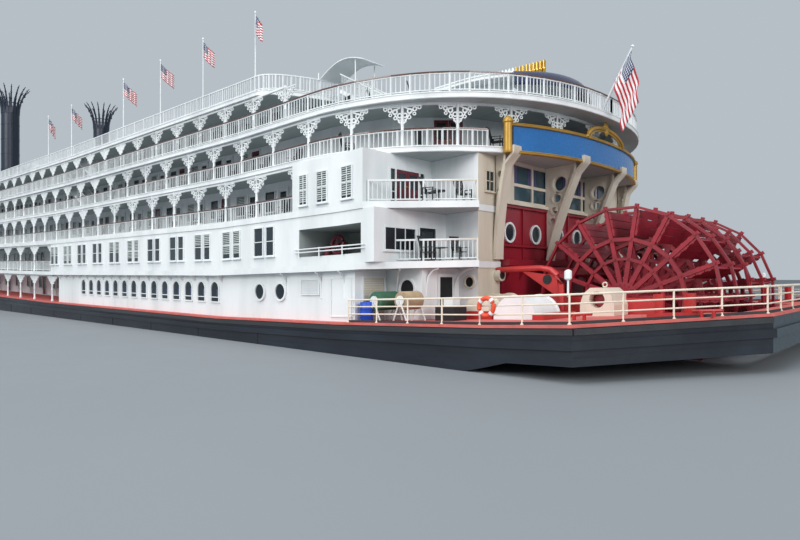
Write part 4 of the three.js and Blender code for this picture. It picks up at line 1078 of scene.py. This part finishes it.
HOUSE_SIDE, CABIN_SIDE, EAVES_SIDE = 13.2, 13.4, 13.56
BLIND_SHARES = (0.0, 0.9, 0.45, 0.0)
for _, side in SIDES:
    house, cabins = along_side(HOUSE_SIDE, side), along_side(CABIN_SIDE, side)
    for k in range(14):
        arched_window(house, -37.25 + 1.508 * k, 4.62, 5.33, 0.4)
    for x in (-41.7, -43.48):
        port(house, (x, 5.18), 0.4, trim, panes)
    house.frame(trim, (-46.45, -45.17), (5.07, 5.71), 0.07, (GAP, 0.07))
    for k in range(8):
        house.block(trim, (-46.45, -45.17), (5.09 + 0.08 * k, 5.14 + 0.08 * k), (GAP, 0.035))
    house.frame(trim, (-48.75, -47.35), (4.05, 5.75), 0.05, (GAP, 0.05))
    house.block(trim, (-48.7, -47.4), (4.05, 5.75), (GAP, 0.02))
    for k in range(11):
        middle = -42.35 + 3.07 * k
        for first, last in ((-0.82, -0.2), (0.12, 0.86)):
            sash(cabins, (middle + first, middle + last), (7.03, 8.45), 1, 2, BLIND_SHARES[k % 4])
    for u in ((-45.55, -45.01), (-47.02, -46.34), (-48.72, -48.06)):
        sash(house, u, (9.37, 10.77), 2, 4, 0.95)
    for k in range(18):
        x, wall_y = -38 + 1.5 * k, side * HOUSE_SIDE
        trim.plate([(x, wall_y, 5.72), (x, wall_y, 6.09), (x, side * EAVES_SIDE, 6.09)], (0.05, 0, 0))

# Cabin fronts behind the galleries: a glazed door and a window to each bay

FRONTS = (("main", 9.6, -8.4, 4.1, 11), ("two", 9.8, -8.4, 4.1, 11), ("three", 10.6, -42.6, 3.07, 26),
          ("four", 10.2, -36.2, 3.05, 24), ("five", 9.2, -36.9, 3.05, 24))    # half width, first, bay, bays
for level, half, first, bay, bays in FRONTS:
    floor = DECK[level] + GAP
    for _, side in SIDES:
        wall = along_side(half, side)
        for k in range(bays):
            x = first + k * bay
            door(wall, (x - 1.1, x - 0.25), (floor, floor + 1.95), 1, 0.6, trim if k % 3 else None)
            sash(wall, (x + 0.15, x + 1.05), (floor + 0.75, floor + 1.9), 1, 1, (0.5, 0.0)[k % 2])

# Quarter balconies, the bay behind them, and the walls of the after deck

for side_name, side in SIDES:
    def span(a, b):
        return (side * a, side * b)

    upper, lower = facing_aft(-49.4), facing_aft(-50.3)
    door(upper, span(9.5, 11.1), (9.06, 10.75), 2, 0.5)
    for a, b in ((9.12, 9.42), (11.18, 11.48)):
        sash(upper, span(a, b), (9.2, 10.75), 1, 3)
    # the bay's door leaf near black, painted shade
    door(lower, span(9.35, 10.5), (6.42, 8.0), 1, 0.75, dark)
    sash(lower, span(10.8, 12.75), (6.95, 7.9), 3, 1)
    wing = facing_aft(WING_AFT)
    sash(wing, span(7.3, 7.9), (9.75, 10.65), 2, 2, 0.0, cream_trim)
    house = facing_aft(-48.9)
    house.frame(trim, span(11.4, 12.7), (3.95, 5.75), 0.07, (GAP, 0.08))
    for k in range(17):
        house.block(cream_trim, span(11.4, 12.7), (3.98 + 0.105 * k, 4.06 + 0.105 * k), (GAP, 0.045))
    # round ports with near-black panes, painted shade
    port(along_side(11.2, side), (-50.27, 5.2), 0.42, trim, dark)
    port(along_side(8.5, side), (-51.75, 5.45), 0.24, cream_trim, dark)
    # the engine room door's pane and frame near black, painted shade of the room behind
    leaf, pane = facing_aft(-51.1), Joinery()
    leaf.block(pane, span(9.22, 9.98), (4.35, 5.65), (-0.02, 0.11))
    leaf.frame(pane, span(9.22, 9.98), (4.35, 5.65), 0.05, (-0.03, 0.12))
    pane.piece(f"engine_room_door_{side_name}_glazing", DARK_OPENING, f"engine_room_door_{side_name}")

# Aft bulkhead: ports, plating and rivets; the saloon's panes, blue-grey as painted shade and painted
# reflection, with their curtains

BULKHEAD = {"ports": (6.0, 3.52, 1.07, -1.07, -3.52, -6.0), "stiffeners": (-4.75, -2.4, 0, 2.4, 4.75),
            "heights": (6.51, 9.18), "half": 6.6, "port_height": 7.85, "rivet_rows": (6.6, 7.32, 9.0)}
SALOON = {"panes": 6, "pitch": 1.86, "half": 0.84, "rows": ((9.5, 10.2), (10.35, 11.25)), "pleats": 7}
bulkhead_work = Joinery()
aft_wall = facing_aft(FRONT)
for y in BULKHEAD["ports"]:
    port(aft_wall, (y, BULKHEAD["port_height"]), 0.42, trim, panes)
for y in BULKHEAD["stiffeners"]:
    aft_wall.block(bulkhead_work, about(y, 0.05), BULKHEAD["heights"], (GAP, 0.09))
for z in (7.2, 9.12):
    aft_wall.block(bulkhead_work, about(0, BULKHEAD["half"]), about(z, 0.05), (GAP, 0.14))
for k in range(52):
    for z in BULKHEAD["rivet_rows"]:
        aft_wall.disc(bulkhead_work, (-6.5 + 0.255 * k, z), 0.025, (GAP, 0.03), 6)
for k in range(11):
    y = -6.2 + 1.24 * k
    bracket_face = [(FRONT - 0.01, y, 5.5), (FRONT - 0.01, y, 6.19), (FRONT - 0.42, y, 6.19)]
    bulkhead_work.plate(bracket_face, (0, 0.07, 0))
for k in range(SALOON["panes"]):
    y = (k - 2.5) * SALOON["pitch"]
    for z0, z1 in SALOON["rows"]:
        aft_wall.block(saloon_glazing, about(y, SALOON["half"]), (z0 + 0.01, z1 - 0.01), (-0.075, -0.06))
        for n in range(SALOON["pleats"] if z1 > 11 else 0):
            a = y - 0.8 + 0.08 * n if n < 4 else y + 0.8 - 0.08 * (n - 3)
            aft_wall.block(curtains, about(a, 0.03), (z0 + 0.03, z1 - 0.03), (-0.06, -0.045))
aft_wall.block(cream_trim, (-6.62, 6.62), (9.22, 9.36), (GAP, 0.2))
bulkhead_work.piece("bulkhead_stiffeners_and_rivets", BULKHEAD_ENAMEL)


# Deckhouse four's round after end, and deck six's houses

STERN_FRONTS = (((-51, 3.5), (-50, 6.5)), ((-50, 6.5), (-47.5, 9.3)), ((-47.5, 9.3), (-44, 10.2)))
for _, side in SIDES:
    for (ax, ay), (bx, by) in STERN_FRONTS:
        length = hypot(bx - ax, by - ay)
        along = ((bx - ax) / length, side * (by - ay) / length)
        wall = Wall((ax, side * ay), along, (-abs(along[1]), side * along[0]))
        if ax == -50:
            door(wall, (0.15, 1.65), (11.77, 13.75), 2, 0.5)
            sash(wall, (2.2, 2.6), (12.5, 13.3), 1, 1)
END_WINDOWS = (                        # wall's X, middles, half width, heights, panes across and up, blind
    (-51, (-2.2, 0, 2.2), 0.8, (12.3, 13.6), 2, 1, 0.4),
    (-38.5, (-7, -4.6, 4.6, 7), 0.7, (15.1, 16.1), 2, 1, 0.0),
    (31.5, (-4.5, -2, 2, 4.5), 0.6, (17.6, 18.7), 1, 2, 0.0),
)
for x, middles, half, heights, across, up, blind in END_WINDOWS:
    for y in middles:
        sash(facing_aft(x), about(y, half), heights, across, up, blind)
for y in (-1.4, 1.4):
    door(facing_aft(-38.5), about(y, 0.75), (14.22, 16.15), 2, 0.6)
for _, side in SIDES:
    wall = along_side(6.2, side)
    for k in range(6):
        sash(wall, (32.2 + 1.8 * k, 33.3 + 1.8 * k), (17.6, 18.7), 1, 2)

for work, name, material in (
        (trim, "white_frames_and_mouldings", WHITE_ENAMEL),
        (panes, "window_panes", WINDOW_GLASS),
        (blinds, "slatted_blinds", CURTAIN),
        (doors, "maroon_doors", DOOR_ENAMEL),
        (dark, "shaded_openings", DARK_OPENING),
        (cream_trim, "cream_frames", CREAM_ENAMEL_AND_BOUNCE_LIGHT),
        (curtains, "saloon_curtains", SALOON_CURTAIN),
        (brass_knobs, "door_knobs", PIPE_BRASS),
        (saloon_glazing, "saloon_panes", SALOON_GLASS)):
    work.piece(name, material)


# Balconies and the open bay: balusters between the quarter's posts, bars and a ring in the bay

quarter_rails, bay_gear = Joinery(), Joinery()
for _, side in SIDES:
    for level in ("two", "three"):
        line = [(x, side * y) for x, y in ((-49.5, 12.95), (-52.65, 9.2), (-52.0, 8.4))]
        stand_of_balusters(quarter_rails, None, line, DECK[level] + GAP, 1.0, 0.2)
    for z in (7.03, 7.18):
        quarter_rails.sweep([(-49.75, side * 13.36, z), (-49.75, side * 13.5, z), (-44.95, side * 13.5, z),
                             (-44.95, side * 13.36, z)], 0.03, 8)
    for x in (-48.4, -46.8, -45.3):
        quarter_rails.rod((x, side * 13.5, 6.8), (x, side * 13.5, 7.24), 0.03)
    hub = (-46.3, side * 11.9, 7.42)
    bay_gear.sweep(upright_ring(*hub, 0.42, 28), 0.1, 8, closed=True)
    bay_gear.rod((hub[0], hub[1], 6.84), (hub[0], hub[1], 7.1), 0.05)
    bay_gear.rod((hub[0], hub[1] - 0.1, hub[2]), (hub[0], hub[1] + 0.1, hub[2]), 0.12, 16)
    for spoke in upright_ring(*hub, 0.42, 5):
        bay_gear.rod(hub, spoke, 0.03)
    bay_gear.rod((hub[0] + 0.75, hub[1], 6.84), (hub[0] + 0.75, hub[1], 7.3), 0.2, 12)
quarter_rails.piece("quarter_balcony_balusters", WHITE_ENAMEL)
bay_gear.piece("bay_hand_wheels", DOOR_ENAMEL, smooth=True)


# Furniture, stairs between the open decks, and the roof's vents

seats, pale_seats, stairs = Joinery(), Joinery(), Joinery()


def chair(work, x, y, floor, turn, rocker=False):
    """A slatted armchair that looks along a heading in degrees."""
    c, s = cos(radians(turn)), sin(radians(turn))

    def at(u, v, z):
        return (x + u * c - v * s, y + u * s + v * c, floor + z)

    for v in (-0.26, 0.26):
        for foot, head in (((-0.22, 0.06), (-0.22, 0.62)), ((0.24, 0.06), (0.24, 0.62)),
                           ((-0.22, 0.4), (-0.42, 1.12))):
            work.bar(at(foot[0], v, foot[1]), at(head[0], v, head[1]), 0.04)
        work.bar(at(-0.3, v, 0.62), at(0.3, v, 0.6), 0.06, 0.03)
        if rocker:
            work.sweep([at(-0.5, v, 0.1), at(-0.22, v, 0.03), at(0.1, v, 0.02), at(0.42, v, 0.08)], 0.02, 6)
    for k in range(6):
        work.bar(at(-0.22 + 0.095 * k, -0.26, 0.4), at(-0.22 + 0.095 * k, 0.26, 0.4), 0.07, 0.02)
    for k in range(7):
        v = -0.24 + 0.08 * k
        work.bar(at(-0.24, v, 0.45), at(-0.41, v, 1.08), 0.05, 0.02)
    work.bar(at(-0.42, -0.28, 1.1), at(-0.42, 0.28, 1.1), 0.04, 0.08)


def table(work, x, y, floor):
    turning = [(0, 0.32), (0.04, 0.32), (0.05, 0.03), (0.94, 0.03), (0.95, 0.36), (1, 0.36)]
    work.lathe(turning, x, y, floor, floor + 0.62, 16)


SEATS = (("three", -51.2, 10.8, 200), ("three", -51.9, 9.2, 170), ("two", -51.3, 11.0, 200),
         ("two", -52.0, 9.6, 170), ("four", -46.5, 11.4, 240), ("four", -52.2, 7.0, 200),
         ("five", -43.2, 10.9, 250), ("five", -45.0, 10.5, 80), ("five", -46.9, 9.9, 230),
         ("five", -49.0, 9.2, 215), ("five", -52.2, 4.6, 190))                # deck, x, y, heading
for _, side in SIDES:
    for level, x, y, turn in SEATS:
        pale = level == "five" and x < -50
        chair(pale_seats if pale else seats, x, side * y, DECK[level] + GAP, side * turn, level == "five")
    for level, x, y in (("three", -51.0, 9.9), ("two", -51.4, 10.3), ("five", -44.1, 10.8)):
        table(seats, x, side * y, DECK[level] + GAP)
    for k in range(9):
        for level, y in (("three", 12.0), ("four", 11.4), ("five", 10.6)):
            chair(seats, -42.2 + 3.05 * k, side * y, DECK[level] + GAP, side * 90)


def stair(y0, y1, x_foot, x_head, z_foot, z_head):
    """An open flight: two strings, treads and a pair of rails with balusters."""
    steps = round((z_head - z_foot) / 0.2)
    for y in (y0, y1):
        stairs.bar((x_foot, y, z_foot + 0.1), (x_head, y, z_head - 0.05), 0.05, 0.2)
        stairs.bar((x_foot, y, z_foot + 1.0), (x_head, y, z_head + 0.95), 0.05, 0.05)
        for k in range(1, 2 * steps):
            t = k / (2 * steps)
            x, z = x_foot + (x_head - x_foot) * t, z_foot + (z_head - z_foot) * t
            stairs.bar((x, y, z + 0.05), (x, y, z + 1.0), 0.03, 0.03)
    for k in range(1, steps):
        x, z = x_foot + (x_head - x_foot) * k / steps, z_foot + (z_head - z_foot) * k / steps
        stairs.box(about(x, 0.14), (y0, y1), about(z, 0.02))


for _, side in SIDES:
    stair(side * 7.0, side * 8.1, -46.6, -42.2, DECK["five"] + GAP, DECK["six"] - 0.02)
    stair(side * 10.7, side * 11.6, -13.6, -9.4, DECK["four"] + GAP, DECK["five"] - SLAB - 0.02)
    stair(side * 9.9, side * 10.8, -13.6, -9.4, DECK["five"] + GAP, DECK["six"] - SLAB - 0.02)
    # a light hood over the stair head, on four posts
    hood = [(-44.4 + 0.3 * k, side * 6.7, 17.9 - 0.02 * k + 0.5 * sin(pi * k / 12)) for k in range(13)]
    stairs.band(hood, [(x, y, z + 0.05) for x, y, z in hood], (0, side * 1.7, 0), closed=False)
    for x in (-43.7, -40.5):
        for y in (6.8, 8.3):
            foot = DECK["six"] if x > -41 else DECK["five"]
            stairs.rod((x, side * y, foot + GAP), (x, side * y, 18.1), 0.035)
for x, y, z in ((-44.5, 0.0, 17.75), (-20, 4, 17.35), (-4, -4, 17.35), (12, 4, 17.35)):
    foot = DECK["five"] + GAP if x < -42 else DECK["six"] + GAP
    stairs.lathe([(0, 0.2), (0.8, 0.2), (0.82, 0.42), (0.92, 0.42), (1, 0.1)], x, y, foot, z + 0.25, 20)
seats.piece("black_iron_chairs_and_tables", PATIO_IRON)
pale_seats.piece("white_deck_chairs", WHITE_ENAMEL)
stairs.piece("open_stairs_hood_and_vents", WHITE_ENAMEL)


# After deck: an open rail of three bars, and the deck gear inside it

STANCHION_TURNING = ((0, 0.07), (0.03, 0.07), (0.05, 0.035), (1, 0.035))
AFTER_RAIL_LINE = ((-48.7, 13.4), (-59.3, 13.4), (-63.5, 6.5), (-63.5, 0))
DECK_FLOOR = DECK["main"] + GAP


def after_rail():
    bars, board = Joinery(), Joinery()
    for _, side in SIDES:
        stops = resample([(x, side * y) for x, y in AFTER_RAIL_LINE], 1.9)
        for x, y in stops:
            bars.lathe(STANCHION_TURNING, x, y, DECK_FLOOR, DECK_FLOOR + 1.0)
        for height, radius in ((0.36, 0.028), (0.68, 0.028), (0.98, 0.038)):
            for a, b in zip(stops, stops[1:]):
                bars.rod((*a, DECK_FLOOR + height), (*b, DECK_FLOOR + height), radius)
        board.rail(stops, DECK_FLOOR + 0.05, 0.03, 0.1)
    bars.piece("after_deck_open_rail", RAIL_ENAMEL, smooth=True, replaces=["railing_after_deck"])
    board.piece("after_deck_toe_boards", RUBBING_TIMBER, slot="deck_red")


after_rail()

gear_red, gear_white, gear_cream, gear_dark = Joinery(), Joinery(), Joinery(), Joinery()
hose, rope, foam, barrel = Joinery(), Joinery(), Joinery(), Joinery()


def drum(work, start, end, radius, sides=30):
    """Turns of hose or rope on a reel, one bead to each turn."""
    a, b = Vector(start), Vector(end)
    turns = max(2, round((b - a).length / 0.09))
    profile = [(0, radius * 0.8)]
    for k in range(turns):
        profile += [((k + place) / turns, radius * share)
                    for place, share in ((0.1, 0.93), (0.5, 1), (0.9, 0.93))]
    work.turned(profile + [(1, radius * 0.8)], start, end, sides)


def half_round(work, middle, ends, radius, foot):
    """A cover like half a barrel lying across the deck, with a rib at each end."""
    first, last = ends
    rib, proud = 0.08, 0.02
    for grow, a, b in ((0, first, last), (0.04, first - proud, first + rib),
                       (0.04, last - rib, last + proud)):
        work.plate([(x, a, z) for x, z in arc((middle, foot), radius + grow, 0, 180, 20)], (0, b - a, 0))


# Lengths along and across the boat and heights over the deck
GEAR_BOXES = ((gear_red, (-54.0, -52.2), (6.8, 10.1), (0, 0.34)),
              (gear_red, (-56.6, -56.1), (7.6, 10.3), (0, 0.25)),
              (gear_white, (-54.5, -54.1), (8.4, 9.0), (0, 0.7)),
              (gear_dark, (-53.1, -52.1), (10.6, 11.5), (0, 0.6)),
              (gear_white, (-52.9, -52.4), (10.8, 11.3), (0.6, 0.95)))
REEL_COVERS = ((gear_white, -55.1, (7.98, 10.02), 0.97, 0), (gear_cream, -52.9, (6.9, 8.1), 0.75, 0.3),
               (gear_cream, -53.2, (9.0, 10.0), 0.6, 0.35))       # middle, ends, radius, height of its foot
REELS = ((hose, -49.75, (11.5, 12.8), 0.42), (rope, -51.2, (11.6, 12.7), 0.4))           # x, ends, radius
REEL_AXLE = 4.7
BENT_ARM = ((-52.26, 6.0), (-54.6, 5.98), (-55.1, 5.88), (-55.42, 5.62), (-55.6, 5.2), (-55.65, 3.82))
GUSSET = ((-53.6, 5.9), (-55.4, 5.6), (-55.55, 4.6))
GUSSET_HOLE, FAIRLEAD_Z = (-54.95, 5.45), 5.75
BARREL_TURNING = ((0, 0.27), (0.03, 0.29), (0.3, 0.29), (0.33, 0.305), (0.36, 0.29), (0.64, 0.29),
                  (0.67, 0.305), (0.7, 0.29), (0.97, 0.29), (1, 0.27))
LIFE_RING = {"x": -56.13, "y": 13.52, "z": 4.45, "radius": 0.31, "thick": 0.085}
LAMP_TURNING = ((0, 0.06), (0.15, 0.12), (0.85, 0.12), (1, 0.04))
STRUTS = (((-43.9, 13.2), (-43.9, 13.55)), ((-46.6, 13.2), (-46.6, 13.55)), ((-48.2, 13.2), (-48.2, 13.55)),
          ((-49.6, 11.2), (-50.6, 12.1)), ((-51.1, 10.9), (-51.7, 10.8)), ((-51.1, 8.9), (-52.6, 9.3)))
STRUT_BEND = ((0, -1.25), (0.04, -0.75), (0.18, -0.35), (0.55, -0.1), (1, -0.01))    # share of the way, drop
CLEATS = ((-62.2, 9.0), (-58.2, 10.5))
for _, side in SIDES:
    for work, x, (y0, y1), (low, high) in GEAR_BOXES:
        work.box(x, (side * y0, side * y1), (DECK_FLOOR + low, DECK_FLOOR + high))
    for work, x, ends, radius, foot in REEL_COVERS:
        half_round(work, x, sorted(side * y for y in ends), radius, DECK_FLOOR + foot)

    # a bent arm that comes out of the bulkhead and down to the deck, with a gusset whose hole is a ring round
    # a near-black disc of painted shade
    gear_red.sweep([(x, side * 7, z) for x, z in BENT_ARM], 0.14, 12)
    gear_red.plate([(x, side * 6.96, z) for x, z in GUSSET], (0, side * 0.08, 0))
    x, z = GUSSET_HOLE
    gear_red.sweep(upright_ring(x, side * 6.93, z, 0.24, 24), 0.035, closed=True)
    gear_dark.rod((x, side * 6.95, z), (x, side * 7.06, z), 0.22, 24)

    # hose reel and rope reel by the after walls, each between two pairs of legs
    for work, x, (y0, y1), radius in REELS:
        drum(work, (x, side * y0, REEL_AXLE), (x, side * y1, REEL_AXLE), radius)
        for y in (y0 - 0.05, y1 + 0.05):
            for foot in (-0.4, 0.4):
                gear_white.rod((x + foot, side * y, DECK_FLOOR), (x, side * y, REEL_AXLE), 0.035)
            cheeks = ((x, side * (y + off), REEL_AXLE) for off in (-0.02, 0.02))
            gear_white.rod(*cheeks, radius * 0.55, 20)
        gear_white.rod((x, side * (y0 - 0.1), REEL_AXLE), (x, side * (y1 + 0.1), REEL_AXLE), 0.05)
    barrel.lathe(BARREL_TURNING, -49.35, side * 12.9, DECK_FLOOR, DECK_FLOOR + 0.88, 32)

    # life ring on the rail, with its four bands, and the lamp on its post
    x, y, z, radius = LIFE_RING["x"], side * LIFE_RING["y"], LIFE_RING["z"], LIFE_RING["radius"]
    foam.sweep(upright_ring(x, y, z, radius, 40), LIFE_RING["thick"], 12, closed=True)
    for k in range(4):
        a = pi * (0.25 + 0.5 * k)
        c, s = cos(a), sin(a)
        ends = ((x + radius * c - t * s, y, z + radius * s + t * c) for t in (0.05, -0.05))
        gear_white.rod(*ends, LIFE_RING["thick"] + 0.007, 12)
    gear_white.rod((-59.2, side * 13.3, DECK_FLOOR + 0.9), (-59.2, side * 13.3, DECK_FLOOR + 1.5), 0.035)
    gear_white.lathe(LAMP_TURNING, -59.2, side * 13.3, DECK_FLOOR + 1.45, DECK_FLOOR + 1.8, 12)

    # struts that carry the quarter balcony, bent in to the walls under it
    for (x0, y0), (x1, y1) in STRUTS:
        bend = [(x0 + (x1 - x0) * t, side * (y0 + (y1 - y0) * t), 6.09 + drop) for t, drop in STRUT_BEND]
        gear_white.sweep(bend, 0.05, 8)

    # cleats, the eye on the bearing cover, and the fairlead in the wing
    for x, y in CLEATS:
        top = DECK_FLOOR + 0.22
        gear_red.rod((x - 0.5, side * y, top), (x + 0.5, side * y, top), 0.06)
        for dx in (-0.2, 0.2):
            gear_red.rod((x + dx, side * y, DECK_FLOOR), (x + dx, side * y, top), 0.07)
    gear_cream.sweep(upright_ring(WHEEL["x"], side * 6.5, 5.12, 0.1, 16), 0.03, closed=True)
    # the fairlead: a cream rim round a near-black disc, painted shade in its mouth
    for work, x0, x1, radius in ((gear_cream, -52.2, -52.5, 0.3), (gear_dark, -52.45, -52.52, 0.2)):
        work.rod((x0, side * 6.95, FAIRLEAD_Z), (x1, side * 6.95, FAIRLEAD_Z), radius, 24)

for work, name, material in (
        (gear_red, "deck_gear_red", GEAR_ENAMEL), (gear_white, "deck_gear_white", WHITE_ENAMEL),
        (gear_cream, "deck_gear_cream", CREAM_ENAMEL_AND_BOUNCE_LIGHT), (gear_dark, "deck_gear_dark", BLACK_RUBBER_AND_HOLE_SHADE),
        (hose, "hose_on_reels", ROPE_FIBRE), (rope, "rope_on_reels", MANILA),
        (foam, "life_rings", RING_FOAM), (barrel, "blue_barrels", BARREL_PLASTIC)):
    work.piece(name, material, smooth=True)


# Hull: a weathered strake along the deck's edge aft, and plate seams

STRAKE_LINE = ((-63.68, 6.62), (-59.52, 13.58), (-44, 13.6), (-20, 13.6))


def hull_trim():
    strake, seams = Joinery(), Joinery()
    for _, side in SIDES:
        stops = resample([(x, side * y) for x, y in STRAKE_LINE], 1.2)
        strake.rail(stops, 3.57, 0.14, 0.2)
        for x in range(-42, 41, 6):
            seams.box(about(x, 0.02), (side * 13.59, side * 13.615), (1.2, 3.05))
        for z in (2.75, 3.0):
            seams.rail(stops, z, 0.03)
    strake.piece("rubbing_strake", RUBBING_TIMBER)
    seams.piece("hull_plate_seams", HULL_EPOXY)


hull_trim()


# Camera at the photograph's place, level, on the port quarter

def aim(thing, place, way):
    thing.location = place
    thing.rotation_mode = "QUATERNION"
    thing.rotation_quaternion = way.to_track_quat("-Z", "Y")


def place_camera():
    data = bpy.data.cameras.new("camera")
    data.lens = 27.45
    data.sensor_width = 36
    data.shift_y = 0.0075
    data.clip_start = 0.05
    data.clip_end = 500
    camera = stand("camera", data)
    aim(camera, (-6.87, 3.167, 0.61), Vector((0.6788, -0.7343, 0)))
    bpy.context.scene.camera = camera


def light(name, place, target, size, power, colour=(1, 1, 1)):
    data = bpy.data.lights.new(name, "AREA")
    data.shape = "DISK"
    data.size = size
    data.energy = power
    data.color = colour
    aim(stand(name, data), place, Vector(target) - Vector(place))


def studio():
    mesh = bpy.data.meshes.new("studio_floor")
    reach, z = 60.0, WATERLINE * SCALE
    corners = [(-reach, -reach, z), (reach, -reach, z), (reach, reach, z), (-reach, reach, z)]
    mesh.from_pydata(corners, [], [(0, 1, 2, 3)])
    mesh.materials.append(STUDIO_FLOOR)
    stand("studio_floor", mesh)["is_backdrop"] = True
    world = bpy.data.worlds.new("studio")
    bpy.context.scene.world = world
    world.use_nodes = True
    backdrop = world.node_tree.nodes["Background"].inputs
    backdrop["Color"].default_value = linear("#c9d3da")
    backdrop["Strength"].default_value = 0.8
    light("overhead_softbox", (-3, 6, 12), (-1, 0, 1), 12, 1000)
    light("port_softbox", (-3, 17, 8), (-4, 0, 1), 8, 1500, (1, 0.98, 0.95))
    light("stern_softbox", (-16, 4, 5), (-5, 0, 0.8), 6, 700, (1, 0.98, 0.95))
    bpy.context.scene.view_settings.view_transform = "Standard"


place_camera()
studio()

low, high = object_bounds()
{"cad": [list(cad_low), list(cad_high)], "visual": [list(low), list(high)]}
